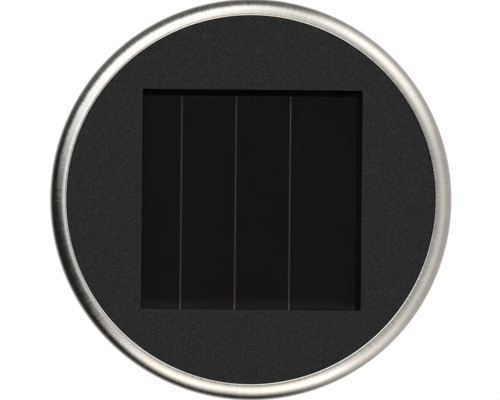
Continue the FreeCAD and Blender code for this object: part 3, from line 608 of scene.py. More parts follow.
def moulded(name, colour, roughness, lump, depth, spread=0.12, **sockets):
    """Plastic, resin or metal with a fine uneven skin: lumps that also shift its tone and gloss."""
    finish = Finish(name, colour, roughness, **sockets)
    skin = finish.grain(lump, detail=3.0, roughness=0.6)
    dark, light = 1 - spread, 1 + spread
    finish.paint(Base_Color=finish.mottle(finish.grain(lump * 14), colour, dark, light),
                 Roughness=finish.spread(skin, roughness * dark, roughness * light))
    finish.relief(skin, depth)
    return finish


BRUSH_RADIUS = 60 * MM
# Radii on the rim's outer roll between which the painted dark reflection streaks lie
DARK_STREAKS_BEGIN = (57.0 * MM, 58.0 * MM)
DARK_STREAKS_END = (59.6 * MM, 59.0 * MM)
BACK_LEFT = (-0.8, 0.6, 0.0)


@cache
def brushed_steel(colours):
    """Steel brushed across the rim and along the pole, with painted dark reflection streaks at the rim's
    outer back left.

    The noise is read at a point on a circle plus a small share of the place, which draws it out in lines.
    """
    finish = Finish("brushed_steel", colours.steel_light, 0.22, Metallic=1.0)
    flat = finish.vector("MULTIPLY", finish.place, (1.0, 1.0, 0.0))
    around = finish.vector("SCALE", finish.vector("NORMALIZE", flat), Scale=BRUSH_RADIUS)

    def lines(size, detail, share):
        across = finish.vector("SCALE", finish.place, Scale=share)
        return finish.grain(size, detail, place=finish.vector("ADD", around, across))

    fine = lines(0.36 * MM, 2.0, share=0.05)
    broad = lines(0.9 * MM, 3.0, share=0.05)
    streaks = finish.between(finish.blend(fine, broad, 0.3), 0.34, 0.66)
    brushed = finish.tint(streaks, colours.steel_dark, colours.steel_light)
    # Painted reflection: dark streaks painted into the colour on the rim's outer roll, strongest at the back
    # left, along the edge of the dark reflection there
    radius = finish.vector("LENGTH", flat)
    outer = finish.times(finish.between(radius, *DARK_STREAKS_BEGIN), finish.between(radius, *DARK_STREAKS_END))
    back_left = finish.vector("DOT_PRODUCT", finish.place, BACK_LEFT)
    dark_reflection_share = finish.times(outer, finish.between(back_left, 20 * MM, 45 * MM, 0.15, 0.75))
    painted_dark_streaks = finish.times(finish.between(lines(0.24 * MM, 1.0, share=0.1), 0.48, 0.6), dark_reflection_share)
    gloss = finish.blend(fine, finish.grain(6 * MM), 0.1)
    finish.paint(Base_Color=finish.tint(painted_dark_streaks, brushed, shade(colours.steel_dark, 0.4)),
                 Roughness=finish.between(gloss, 0.34, 0.66, 0.12, 0.27))
    finish.relief(lines(0.32 * MM, 1.0, share=0.3), 0.03 * MM, 0.7)
    return finish.material


# Span of the painted highlight along the pocket's front edge
HIGHLIGHT_FRONT = (-0.65 * MM, -0.4 * MM)
HIGHLIGHT_BACK = (0.6 * MM, 0.4 * MM)
HIGHLIGHT_ENDS = (0.2 * MM, -0.2 * MM)


def pocket_front_highlight(finish, sizes):
    """Broken pale line along the pocket's front edge, a painted highlight where the edge catches the light.
    """
    front = sizes.pocket_back - sizes.pocket_length / 2
    y = finish.maths("SUBTRACT", finish.part_of("Y"), front)
    strip = finish.times(finish.between(y, *HIGHLIGHT_FRONT), finish.between(y, *HIGHLIGHT_BACK))
    x = finish.maths("SUBTRACT", finish.part_of("X"), sizes.pocket_right)
    beyond = finish.maths("SUBTRACT", finish.maths("ABSOLUTE", x, 0.0), sizes.pocket_width / 2)
    broken = finish.between(finish.grain(12 * MM), 0.35, 0.6, 0.3, 1.0)
    return finish.times(broken, finish.times(strip, finish.between(beyond, *HIGHLIGHT_ENDS)))


def grained_plastic(colours, sizes):
    """Black plastic of the top plate with an etched grain of half-millimetre lumps, painted shade in their
    dents and painted light on their tops, fine painted glints and a painted highlight along the pocket's
    front edge.
    """
    finish = Finish("grained_plastic", colours.plate, 0.5, Specular_IOR_Level=0.2)
    lumps = finish.grain(0.55 * MM, detail=2.5, roughness=0.65)
    glints = finish.grain(0.32 * MM, detail=1.0)
    worn = finish.mottle(finish.grain(9 * MM), colours.plate, 0.93, 1.08)
    # Painted shade in the dents and painted light on the raised lumps, then pale specks painted in as glints
    shaded_dents = finish.tint(finish.between(lumps, 0.32, 0.55), shade(colours.plate, 0.45), worn)
    raised = finish.tint(finish.between(lumps, 0.52, 0.74), shaded_dents, shade(colours.plate, 2.4))
    etched = finish.tint(finish.between(glints, 0.66, 0.72), raised, shade(colours.plate, 6.0))
    # Painted highlight: a pale line along the pocket's front edge
    front_highlighted = finish.tint(pocket_front_highlight(finish, sizes), etched, shade(colours.plate, 1.5))
    finish.paint(Base_Color=front_highlighted, Roughness=finish.between(glints, 0.35, 0.7, 0.62, 0.45))
    finish.relief(lumps, 0.1 * MM, 0.8)
    return finish.material


# Where the painted light in the pocket begins, to the right of the panel
LIT_GAP_BEGINS = (31.5 * MM, 32.2 * MM)


def pocket_painted_shade_and_light(colours):
    """The same plastic left plain and matt inside the pocket, darker than the plate as painted shade, and
    lighter to the right of the panel as painted light.
    """
    # Painted shade: the plastic inside the pocket is darker than the plate
    plain = shade(colours.plate, 0.6)
    finish = moulded("pocket_painted_shade_and_light", plain, 0.9, 0.6 * MM, 0.02 * MM, Specular_IOR_Level=0.03)
    # Painted light: lighter to the right of the panel
    painted_light_right = finish.between(finish.part_of("X"), *LIT_GAP_BEGINS)
    finish.paint(Base_Color=finish.mottle(painted_light_right, colours.plate, 0.6, 1.08))
    return finish.material


@cache
def satin_plastic(colours):
    """Satin black plastic of the body."""
    return moulded("satin_plastic", colours.body, 0.42, 0.5 * MM, 0.012 * MM, Specular_IOR_Level=0.4).material


def spike_plastic(colours):
    """Tougher black plastic of the spike, with scuffs along its length."""
    finish = Finish("spike_plastic", colours.spike, 0.5, Specular_IOR_Level=0.35)
    drawn = finish.vector("MULTIPLY", finish.place, (1.0, 1.0, 0.12))
    scuffs = finish.grain(0.9 * MM, detail=4.0, roughness=0.7, place=drawn)
    finish.paint(Base_Color=finish.mottle(finish.between(scuffs, 0.5, 0.8), colours.spike, 1.0, 2.0),
                 Roughness=finish.spread(scuffs, 0.42, 0.6))
    finish.relief(scuffs, 0.03 * MM)
    return finish.material


def clear_plastic(colours):
    """Clear moulded plastic of the lens, faintly wavy."""
    finish = Finish("clear_plastic", colours.clear, 0.02, Transmission_Weight=1.0, IOR=1.49)
    finish.paint(Roughness=finish.between(finish.grain(6 * MM), 0.4, 0.7, 0.012, 0.04))
    finish.relief(finish.grain(4 * MM, detail=1.0), 0.02 * MM)
    return finish.material


@cache
def bright_plating(colours):
    """Vacuum plated plastic with a slight orange-peel."""
    return moulded("bright_plating", colours.plating, 0.08, 1.6 * MM, 0.004 * MM, 0.06, Metallic=1.0).material


def seal_rubber(colours):
    """Matt rubber."""
    return moulded("seal_rubber", colours.rubber, 0.75, 0.25 * MM, 0.02 * MM, 0.2).material


def screw_zinc(colours):
    """Zinc plating."""
    return moulded("screw_zinc", colours.zinc, 0.3, 0.3 * MM, 0.006 * MM, 0.1, Metallic=1.0).material


def pad_foam(colours):
    """Closed-cell foam."""
    finish = moulded("pad_foam", colours.foam, 0.9, 0.5 * MM, 0.05 * MM, 0.08)
    finish.relief(finish.cells(0.6 * MM), 0.15 * MM)
    return finish.material


FIRST_GAP = 11.5 * MM
CELL_PITCH = 16.2 * MM
LAST_GAP = (3.5 * CELL_PITCH, 3.4 * CELL_PITCH)
LAST_STRIP = (12.6 * MM, 12.8 * MM)
GAP_LINE = (0.18 * MM, 0.13 * MM)
# Spans of painted light at the gap lines' front ends and painted shade at their back ends
LIT_END = (2.1 * MM, 1.7 * MM)
SHADED_END = (3.3 * MM, 1.0 * MM)
# Strip of painted reflection along the panel's front edge, and how much lighter it paints
REFLECTION_STRIP = 2.8 * MM
REFLECTION_GAIN = 3.2


def front_reflection(finish, node):
    """1 at a node's front edge, falling to 0 over the strip where a painted reflection lightens it."""
    front = low(node).y
    return finish.between(finish.part_of("Y"), front + REFLECTION_STRIP, front)


def panel_backing(colours):
    """Board of the panel: a print as dark as the cells, a bare pale band under each gap, a painted reflection
    at the front edge and painted light and shade at the bands' ends.
    """
    finish = moulded("panel_backing", colours.silicon, 0.1, 0.6 * MM, 0.001 * MM, Specular_IOR_Level=0.25)
    x = finish.maths("SUBTRACT", finish.part_of("X"), low("panel_board").x)
    from_gap = finish.maths("PINGPONG", finish.maths("SUBTRACT", x, FIRST_GAP), CELL_PITCH / 2)
    bare = finish.times(finish.between(from_gap, *GAP_LINE), finish.between(x, *LAST_GAP))
    speckle = finish.mottle(finish.grain(0.6 * MM), colours.backing, 0.75, 1.25)
    # Painted reflection: the print is lighter along the front edge
    print_and_painted_reflection = finish.mottle(front_reflection(finish, "panel_board"), colours.silicon, 1.0, REFLECTION_GAIN)
    y = finish.part_of("Y")
    # Painted light at the front ends of the pale bands, painted shade at their back ends
    painted_light_end = finish.between(finish.maths("SUBTRACT", y, low("panel_board").y), *LIT_END)
    painted_shade_end = finish.between(finish.maths("SUBTRACT", high("panel_board").y, y), *SHADED_END)
    lit = finish.tint(painted_light_end, speckle, shade(colours.backing, 1.7))
    line = finish.tint(painted_shade_end, lit, shade(colours.backing, 0.5))
    finish.paint(Base_Color=finish.tint(bare, print_and_painted_reflection, line))
    return finish.material


def silicon_film(colours):
    """Dark film of the cells, bluer on the last strip and paler along the front edge from a painted
    reflection, faintly cloudy.
    """
    finish = Finish("silicon_film", colours.silicon, 0.1, Specular_IOR_Level=0.25)
    last = finish.between(finish.part_of("X"), *LAST_STRIP)
    cloud = finish.grain(11 * MM, detail=3.0)
    blue = np.array(colours.silicon) * (0.97, 1.1, 1.2)
    film = finish.tint(last, finish.mottle(cloud, colours.silicon, 0.93, 1.07), blue)
    # Painted reflection: the film is paler along the front edge
    edge = front_reflection(finish, "solar_cells")
    finish.paint(Base_Color=finish.tint(edge, film, shade(colours.silicon, REFLECTION_GAIN)),
                 Roughness=finish.spread(cloud, 0.07, 0.12))
    return finish.material


def cover_resin(colours):
    """Clear sheet over the cells, faintly rippled."""
    finish = Finish("cover_resin", colours.resin, 0.06, Alpha=0.15)
    finish.paint(Roughness=finish.between(finish.grain(5 * MM), 0.35, 0.7, 0.04, 0.09))
    finish.relief(finish.grain(7 * MM, detail=1.0), 0.004 * MM)
    return finish.material


def battery_skin(colours):
    """Plain sleeve of the battery with bare metal at both ends."""
    finish = Finish("battery_skin", colours.sleeve, 0.35)
    x = finish.part_of("X")
    foot, tip = low("battery").x, high("battery").x
    ends = finish.maths("MAXIMUM", finish.between(x, foot + 0.9 * MM, foot + 0.8 * MM),
                        finish.between(x, tip - 2.4 * MM, tip - 2.3 * MM))
    scuff = finish.grain(2 * MM, detail=4.0)
    sleeved = finish.mottle(scuff, colours.sleeve, 0.85, 1.15)
    finish.paint(Base_Color=finish.tint(ends, sleeved, colours.nickel), Metallic=ends,
                 Roughness=finish.spread(scuff, 0.28, 0.42))
    finish.relief(scuff, 0.008 * MM)
    return finish.material


def nickel_plate(colours):
    """Nickel plating."""
    return moulded("nickel_plate", colours.nickel, 0.25, 0.5 * MM, 0.004 * MM, 0.1, Metallic=1.0).material


def board_mask(colours):
    """Green solder mask over copper tracks that follow the edges of irregular cells."""
    finish = Finish("board_mask", colours.mask, 0.35)
    tracks = finish.cells(5 * MM, feature="DISTANCE_TO_EDGE", randomness=0.8)
    finish.paint(Base_Color=finish.tint(finish.between(tracks, 0.09, 0.11), colours.copper, colours.mask),
                 Roughness=finish.spread(finish.grain(0.4 * MM), 0.3, 0.42))
    finish.relief(finish.between(tracks, 0.08, 0.12, 1.0, 0.0), 0.03 * MM)
    return finish.material


def lamp_resin(colours):
    """Clear resin of the lamp with a warm phosphor tint at its root."""
    finish = Finish("lamp_resin", colours.lamp, 0.06, Transmission_Weight=0.85, IOR=1.53)
    root = finish.between(finish.part_of("Z"), low("led").z + 2 * MM, high("led").z)
    finish.paint(Base_Color=finish.tint(root, colours.lamp, colours.phosphor),
                 Roughness=finish.spread(finish.grain(1 * MM), 0.04, 0.1))
    return finish.material


def switch_tin(colours):
    """Tin plating."""
    return moulded("switch_tin", colours.tin, 0.32, 0.4 * MM, 0.006 * MM, 0.1, Metallic=1.0).material


def knob_plastic(colours):
    """Plastic of the knob with fine grip ridges across its travel."""
    finish = moulded("knob_plastic", colours.knob, 0.45, 0.3 * MM, 0.01 * MM)
    ridges = finish.add("TexWave", Vector=finish.place, Scale=1 / (3.2 * MM), Distortion=0.0)
    finish.relief(ridges.outputs["Fac"], 0.12 * MM)
    return finish.material


def chip_resin(colours):
    """Moulded resin of a chip."""
    return moulded("chip_resin", colours.chip, 0.55, 0.2 * MM, 0.015 * MM, 0.2).material


def choke_resin(colours):
    """Dipped coating of an inductor."""
    return moulded("choke_resin", colours.choke, 0.3, 0.8 * MM, 0.03 * MM).material


def capacitor_resin(colours):
    """Dipped coating of a capacitor."""
    return moulded("capacitor_resin", colours.ceramic, 0.45, 0.6 * MM, 0.03 * MM).material


def wire_sleeve(name, colour):
    """Insulation of a lead."""
    return moulded(name, colour, 0.38, 0.4 * MM, 0.006 * MM).material


# Head

class PATHLIGHT_OT_rim(bpy.types.Operator):
    """Rolled steel rim"""
    bl_idname = "pathlight.rim"
    bl_label = "Steel Rim"

    def execute(self, context):
        scene = context.scene
        add_made("steel_rim", [rim_surface(scene.path_head)], brushed_steel(scene.path_colours), "head",
                 "rim_shell")
        return {"FINISHED"}


def rim_surface(sizes):
    """Thin lip, quarter-round edge, straight side and hem, with the sheet's inner face, turned about Z."""
    top, bottom, radius = high("rim_shell").z, low("rim_shell").z, high("rim_shell").x
    sheet = sizes.rim_sheet
    roll = radius - sizes.rim_inner - sizes.rim_lip
    nick = 0.3 * sheet
    outline = rounded([
        (sizes.rim_inner, top - sheet, 0), (sizes.rim_inner, top, sizes.rim_lip), (radius, top, roll),
        (radius, bottom, sizes.hem_round), (sizes.hem_inner, bottom, nick),
        (sizes.hem_inner, bottom + sheet, nick), (radius - sheet, bottom + sheet, sizes.hem_round - sheet),
        (radius - sheet, top - sheet, roll - sheet)])
    return turned(closed(outline), whole_turn(FINE_SIDES))


class PATHLIGHT_OT_top_plate(bpy.types.Operator):
    """Grained top plate with the square pocket"""
    bl_idname = "pathlight.top_plate"
    bl_label = "Top Plate"

    def execute(self, context):
        sizes, colours = context.scene.path_head, context.scene.path_colours
        grids = [plate_surface(sizes), *boss_surfaces(sizes)]
        finish = grained_plastic(colours, sizes)
        plate = add_made("top_plate", grids, finish, "head", "top_housing")
        # Faces inside the pocket take the plastic with painted shade and painted light
        plate.data.materials.append(pocket_painted_shade_and_light(colours))
        plate.data.polygons.foreach_set("material_index", inside_pocket(sizes, plate.data))
        return {"FINISHED"}


POCKET_FILLET = 0.15 * MM
PLATE_SHARES = (0.01, 0.08, 0.25, 0.5, 0.75, 0.95, 1.0)
Wave = namedtuple("Wave", "height rate start")
RAGGED_WAVES = (Wave(1.0, 1.9, 0.0), Wave(0.7, 3.7, 1.0), Wave(0.5, 6.1, 2.0))
RAGGED_SIDE = (0.985, 0.995)
RAGGED_FADE = 0.1
POCKET_SLACK = 0.1 * MM


def inside_pocket(sizes, mesh):
    """1 for each face within the pocket and below its rounded edge, else 0."""
    centres = np.empty(len(mesh.polygons) * 3)
    mesh.polygons.foreach_get("center", centres)
    x, y, z = centres.reshape(-1, 3).T
    below_top = high("top_housing").z - z
    beyond_x = abs(x - sizes.pocket_right) - sizes.pocket_width / 2
    beyond_y = abs(y - sizes.pocket_back) - sizes.pocket_length / 2
    within = np.maximum(beyond_x, beyond_y) < sizes.pocket_edge
    deep = (below_top > sizes.pocket_edge) & (below_top < sizes.pocket_depth + POCKET_SLACK)
    return (within & deep).astype(int)


def pocket_ring(sizes, grow):
    """Outline of the pocket, grown outward, with a slightly ragged left side: a sum of sines along Y."""
    half_x, half_y = sizes.pocket_width / 2, sizes.pocket_length / 2
    ring = square_ring(half_x + grow, half_y + grow, sizes.pocket_corner + grow, side_steps=96)
    y = ring[:, 1] / MM
    ragged = sum(wave.height * np.sin(wave.rate * y + wave.start) for wave in RAGGED_WAVES)
    left = step_up(-ring[:, 0] / half_x, *RAGGED_SIDE)
    inside = np.clip((1 - np.abs(ring[:, 1]) / half_y) / RAGGED_FADE, 0, 1)
    ring[:, 0] += sizes.pocket_ragged / 2 * ragged * left * inside
    return ring + (sizes.pocket_right, sizes.pocket_back)


def plate_surface(sizes):
    """Rings from the pocket's floor up its walls, over the plate to a circle, and back underneath.

    Between the square and the circle a ring is the mix of the two.
    """
    top, bottom, skirt = high("top_housing").z, low("top_housing").z, high("top_housing").x
    edge = sizes.pocket_edge
    pocket_floor = top - sizes.pocket_depth
    tray = pocket_floor - sizes.pocket_wall
    under = top - sizes.plate_thick
    lip = sizes.rim_inner + sizes.rim_lip
    roll = skirt - lip
    roll_z = top + sizes.rim_sheet - (high("rim_shell").x - lip)
    square = pocket_ring(sizes, edge)
    angles = np.arctan2(square[:, 1], square[:, 0])

    def circle(radius, z):
        return polar(radius, angles, z)

    def ring(grow, z):
        return at_height(pocket_ring(sizes, grow), z)

    centre = np.zeros((len(square), 2))
    rows = [at_height(centre, pocket_floor), ring(-POCKET_FILLET, pocket_floor)]
    rows.append(ring(0, pocket_floor + POCKET_FILLET))
    rows += [ring(grow, z) for grow, z in edge_steps(edge, top, 7)]
    outermost = circle(sizes.rim_inner - 0.5 * sizes.lip_groove, top)
    rows += [(1 - share) * at_height(square, top) + share * outermost for share in PLATE_SHARES]
    rows += [circle(sizes.rim_inner, top - sizes.lip_groove), circle(lip, top - sizes.lip_groove)]
    for tilt in np.linspace(math.asin(sizes.rim_clearance / roll), math.pi / 2, 10):
        rows.append(circle(lip + roll * math.sin(tilt), roll_z + roll * math.cos(tilt)))
    inner = skirt - sizes.skirt_wall
    rows += [circle(skirt, bottom), circle(inner, bottom), circle(inner, under)]
    rows += [ring(sizes.pocket_wall, under), ring(sizes.pocket_wall, tray), at_height(centre, tray)]
    return np.stack(rows)


def screw_spots(sizes):
    """Centres of the housing screws, on the pocket's diagonals."""
    reach = sizes.screw_circle * math.sqrt(0.5)
    return [(sx * reach, sy * reach) for sx in (-1, 1) for sy in (-1, 1)]


def boss_surfaces(sizes):
    """Tube under the plate for each screw."""
    foot, head = low("top_housing").z, high("top_housing").z - sizes.plate_thick
    outline = rounded([(sizes.boss_bore, foot, 0.2 * MM), (sizes.boss_radius, foot, 0.3 * MM),
                       (sizes.boss_radius, head, 0), (sizes.boss_bore, head, 0)])
    boss = turned(closed(outline), whole_turn(40))
    return [boss + (x, y, 0) for x, y in screw_spots(sizes)]


class PATHLIGHT_OT_solar_panel(bpy.types.Operator):
    """Cover, cells, board and foam of the solar panel"""
    bl_idname = "pathlight.solar_panel"
    bl_label = "Solar Panel"

    def execute(self, context):
        colours = context.scene.path_colours
        sheet = cover_surface(context.scene.path_head)
        add_made("panel_sheet", [sheet], cover_resin(colours), "head", "panel_cover")
        coat("solar_cells", silicon_film(colours))
        coat("panel_board", panel_backing(colours))
        coat("panel_foam", pad_foam(colours))
        return {"FINISHED"}


COVER_CORNER = 0.5 * MM
LEAST_CORNER = 0.05 * MM
COVER_INSETS = (0.3, 0.8, 1.4, 2.0, 2.7, 3.4, 4.2, 8.0)


def cover_surface(sizes):
    """Square rings up the sheet's side, over its rounded edge and in to its centre.

    The top falls away smoothly at the front edge.
    """
    lo, hi, centre = low("panel_cover"), high("panel_cover"), middle("panel_cover")
    half_x, half_y = (hi.x - lo.x) / 2, (hi.y - lo.y) / 2

    def ring(inset, z):
        corner = max(COVER_CORNER - inset, LEAST_CORNER)
        points = square_ring(half_x - inset, half_y - inset, corner, side_steps=48) + (centre.x, centre.y)
        fall = sizes.cover_droop * (1 - step_up(points[:, 1], lo.y, lo.y + sizes.cover_fall))
        return at_height(points, z - fall * (z > centre.z))

    def hub(z):
        return np.tile((centre.x, centre.y, z), (len(ring(0, z)), 1))

    base = lo.z + sizes.cover_lift
    rows = [hub(base), ring(0, base)]
    rows += [ring(inset, z) for inset, z in edge_steps(sizes.cover_edge, hi.z, 6)]
    rows += [ring(inset * MM, hi.z) for inset in COVER_INSETS]
    return np.stack([*rows, hub(hi.z)])


class PATHLIGHT_OT_lower_housing(bpy.types.Operator):
    """Floor of the head and its battery door"""
    bl_idname = "pathlight.lower_housing"
    bl_label = "Lower Housing and Door"

    def execute(self, context):
        finish = satin_plastic(context.scene.path_colours)
        edge = context.scene.path_head.bevel
        add_copy("lower_housing", finish, "head", edge)
        add_copy("battery_door", finish, "door", edge)
        return {"FINISHED"}


# Lens, base and pole

class PATHLIGHT_OT_lens(bpy.types.Operator):
    """Clear fluted lens with its bayonet lugs"""
    bl_idname = "pathlight.lens"
    bl_label = "Lens"

    def execute(self, context):
        scene = context.scene
        add_made("fluted_lens", [lens_surface(scene.path_lens)], clear_plastic(scene.path_colours), "lens",
                 "lens")
        return {"FINISHED"}


LUG_ANGLES = np.radians((90, 210, 330))
LUG_SLOPE = math.radians(0.25)
FLUTE_STEPS = 12
HAIR = 0.01 * MM


def lens_surface(sizes):
    """Closed wall in rows of height: up the smooth outside, over the mouth and down the fluted inside.

    A flute is a parabola across its width, (1 - (2s - 1)^2) deep. A lug is a step out within its angle.
    """
    bottom, top = low("lens").z, high("lens").z
    mouth, shoulder = sizes.mouth, sizes.mouth - sizes.shoulder
    band = top - sizes.band
    ends = [angle + side * (sizes.lug_half + slip) for angle in LUG_ANGLES for side in (-1, 1)
            for slip in (-LUG_SLOPE, LUG_SLOPE)]
    angles = np.unique(np.concatenate([whole_turn(sizes.flutes * FLUTE_STEPS), ends]))
    away = np.min(np.abs((angles - LUG_ANGLES[:, None] + math.pi) % (2 * math.pi) - math.pi), axis=0)
    lug = 1 - step_up(away, sizes.lug_half - LUG_SLOPE, sizes.lug_half + LUG_SLOPE)
    share = (angles * sizes.flutes / (2 * math.pi)) % 1
    flute = sizes.flute_depth * (1 - (2 * share - 1) ** 2)
    lug_top = top - sizes.lug_below_top
    lug_foot = lug_top - sizes.lug_height
    nick = 0.2 * MM
    outside = [(bottom, sizes.foot - nick, 0), (bottom + nick, sizes.foot, 0), (band, shoulder, 0),
               (band + 0.5 * MM, mouth, 0), (lug_foot - HAIR, mouth, 0), (lug_foot, mouth, 0.85),
               (lug_foot + nick, mouth, 1), (lug_top - nick, mouth, 1), (lug_top, mouth, 0.85),
               (lug_top + HAIR, mouth, 0), (top - 2 * nick, mouth, 0), (top, mouth - 2 * nick, 0)]
    rows = [(z, radius + sizes.lug_reach * weight * lug) for z, radius, weight in outside]
    inner = mouth - sizes.wall
    rows += [(top, inner + nick), (top - nick, inner), (band, inner)]
    rows += [(band - HAIR, shoulder - sizes.wall - flute), (bottom, sizes.foot - sizes.wall - flute), rows[0]]
    return np.stack([polar(radius, angles, z) for z, radius in rows])


class PATHLIGHT_OT_lens_base(bpy.types.Operator):
    """Trumpet-shaped base of the lens"""
    bl_idname = "pathlight.lens_base"
    bl_label = "Lens Base"

    def execute(self, context):
        scene = context.scene
        add_made("trumpet_base", [base_surface(scene.path_lens)], satin_plastic(scene.path_colours), "lens",
                 "lens_base")
        return {"FINISHED"}


def base_surface(sizes):
    """Socket for the pole, a trumpet flare, a rim round the lens and a dished inside, turned about Z."""
    bottom, rim_top, rim_outer = low("lens_base").z, high("lens_base").z, high("lens_base").x
    pole_top = high("pole").z
    bore = high("pole").x + sizes.socket_gap
    seat = rim_top - sizes.rim_height
    flare, flare_top = sizes.flare_round, seat - sizes.flare_wall - 0.2 * MM
    stop = pole_top + sizes.stop_thick
    shelf = high("cone_reflector").x - sizes.cone_flat + 1.5 * MM
    centre = (sizes.flare_inner + flare, flare_top - flare)
    dish = flare + sizes.flare_wall
    dish_rim = (shelf, centre[1] + math.sqrt(dish ** 2 - (centre[0] - shelf) ** 2))
    dish_foot = (centre[0] - math.sqrt(dish ** 2 - (stop - centre[1]) ** 2), stop)
    outside = rounded([
        (bore, bottom, 0.3 * MM), (bore + sizes.socket_wall, bottom, 0.8 * MM),
        (sizes.flare_inner, centre[1], 0), (sizes.flare_inner, flare_top, flare),
        (rim_outer, flare_top, 1.0 * MM), (rim_outer, rim_top, 0.8 * MM),
        (rim_outer - 2.0 * MM, rim_top, 0.2 * MM), (sizes.foot + 0.25 * MM, seat, 0),
        (shelf, seat, 0.3 * MM), (*dish_rim, 0), (*dish_foot, 0),
        (0, stop, 0), (0, pole_top, 0), (bore, pole_top, 0)])
    inner = np.flatnonzero(np.isclose(outside, dish_foot).all(axis=1))[0]
    arc = bow(dish_rim, dish_foot, -rise_of(dish_rim, dish_foot, dish))
    outline = np.concatenate([outside[:inner - 1], arc, outside[inner + 1:]])
    axis = np.flatnonzero(outline[:, 0] == 0)
    return turned(np.concatenate([outline[axis[1]:], outline[:axis[0] + 1]]), whole_turn(ROUND_SIDES))


class PATHLIGHT_OT_cone(bpy.types.Operator):
    """Bright cone at the foot of the lens"""
    bl_idname = "pathlight.cone"
    bl_label = "Light Cone"

    def execute(self, context):
        scene = context.scene
        add_made("light_cone", [cone_surface(scene.path_lens)], bright_plating(scene.path_colours), "lens",
                 "cone_reflector")
        return {"FINISHED"}


def cone_surface(sizes):
    """Flange, hollow-curved flank and rounded tip, over a hollow of the same curve, turned about Z."""
    radius, bottom, tip = high("cone_reflector").x, low("cone_reflector").z, high("cone_reflector").z
    wall = sizes.cone_wall
    foot, base = radius - sizes.cone_flat, bottom + wall
    neck = (sizes.cone_tip, tip - sizes.cone_tip)
    sag = 0.16 * math.dist((foot, base), neck)
    hollow_foot, hollow_tip = (foot - 2 * wall, bottom), (1.5 * wall, tip - 7 * wall)
    flange = rounded([(radius, bottom, 0.2 * MM), (radius, base, 0.3 * MM), (foot, base, 0)])[:-1]
    outline = np.concatenate([
        bow((0, hollow_tip[1] + wall), hollow_tip, 0.3 * MM, 6), bow(hollow_tip, hollow_foot, -sag), flange,
        bow((foot, base), neck, sag), bow(neck, (0, tip), -0.4 * sizes.cone_tip, 8)])
    return turned(outline, whole_turn(ROUND_SIDES))


class PATHLIGHT_OT_seal(bpy.types.Operator):
    """Rubber ring between the lens and the head"""
    bl_idname = "pathlight.seal"
    bl_label = "Seal Ring"

    def execute(self, context):
        sizes = context.scene.path_lens
        ring = sleeve("seal_ring", sizes.wall - sizes.seal_inset, 0.3 * MM)
        finish = seal_rubber(context.scene.path_colours)
        add_made("rubber_seal", [ring], finish, "seal", "seal_ring")
        return {"FINISHED"}


class PATHLIGHT_OT_pole(bpy.types.Operator):
    """Steel pole"""
    bl_idname = "pathlight.pole"
    bl_label = "Pole"

    def execute(self, context):
        tubing = sleeve("pole", context.scene.path_lens.pole_wall, 0.15 * MM)
        finish = brushed_steel(context.scene.path_colours)
        add_made("steel_pole", [tubing], finish, "pole", "pole")
        return {"FINISHED"}


class PATHLIGHT_OT_spike(bpy.types.Operator):
    """Ground spike"""
    bl_idname = "pathlight.spike"
    bl_label = "Ground Spike"

    def execute(self, context):
        edge = 2 * context.scene.path_head.bevel
        add_copy("ground_spike", spike_plastic(context.scene.path_colours), "spike", edge)
        return {"FINISHED"}


# Fasteners, battery and electronics

SHEET_BEVEL = 0.08 * MM
FINE_BEVEL = 0.1 * MM
CAN_BEVEL = 0.15 * MM


class PATHLIGHT_OT_screws(bpy.types.Operator):
    """Housing screws and board screws with cross recesses"""
    bl_idname = "pathlight.screws"
    bl_label = "Screws"

    def execute(self, context):
        sizes = context.scene.path_fittings
        finish = screw_zinc(context.scene.path_colours)
        seat = low("housing_screws").z + sizes.screw_rise
        reach = high("housing_screws").z - seat
        screw = screw_surface(sizes.screw_head, sizes.screw_rise, sizes.screw_shank, reach)
        spots = screw_spots(context.scene.path_head)
        grids = [grid * (1, -1, -1) + (x, y, seat) for x, y in spots for grid in screw]
        add_made("head_screws", grids, finish, "head", "housing_screws")
        lo, hi, y = low("board_screws"), high("board_screws"), middle("board_screws").y
        seat = hi.z - sizes.small_rise
        screw = screw_surface(sizes.small_head, sizes.small_rise, sizes.small_shank, seat - lo.z)
        spots = (lo.x + sizes.small_head, hi.x - sizes.small_head)
        grids = [grid + (x, y, seat) for x in spots for grid in screw]
        add_made("small_screws", grids, finish, "head", "board_screws")
        return {"FINISHED"}


def screw_surface(radius, rise, shank, reach):
    """Pan head on a shank that points down, its seat at height 0.

    The crown is a square grid drawn onto a disc, x = u sqrt(1 - v^2 / 2), y = v sqrt(1 - u^2 / 2), domed and
    cut by a cross of two slots. The side and shank are turned on the same angles.
    """
    u, v = np.meshgrid(np.linspace(-1, 1, 33), np.linspace(-1, 1, 33), indexing="ij")
    crown = 0.86 * radius
    x, y = crown * u * np.sqrt(1 - v * v / 2), crown * v * np.sqrt(1 - u * u / 2)
    arm, half = 0.62 * radius, 0.15 * radius

    def slot(along, across):
        within = 1 - step_up(abs(along), 0.85 * arm, arm)
        return within * (1 - step_up(abs(across), 0.8 * half, 1.4 * half))

    dome, recess = 0.12 * rise, 0.55 * rise
    z = rise - dome * (u * u + v * v - u * u * v * v) - recess * np.maximum(slot(x, y), slot(y, x))
    top = np.stack([x, y, z], axis=-1)
    border = np.concatenate([top[:-1, 0], top[-1, :-1], top[:0:-1, -1], top[0, ::-1]])
    side = rounded([
        (crown, rise - dome, 0), (radius, 0.62 * rise, 0.12 * radius), (radius, 0, 0.05 * radius),
        (shank, 0, 0), (shank, shank - reach, 0), (0.3 * shank, -reach, 0), (0, -reach, 0)])
    return top, turned(side, np.arctan2(border[:, 1], border[:, 0]))


class PATHLIGHT_OT_battery(bpy.types.Operator):
    """Battery cell"""
    bl_idname = "pathlight.battery"
    bl_label = "Battery"

    def execute(self, context):
        cell = battery_surface(context.scene.path_fittings)
        finish = battery_skin(context.scene.path_colours)
        add_made("plain_cell", [cell], finish, "head", "battery")
        return {"FINISHED"}


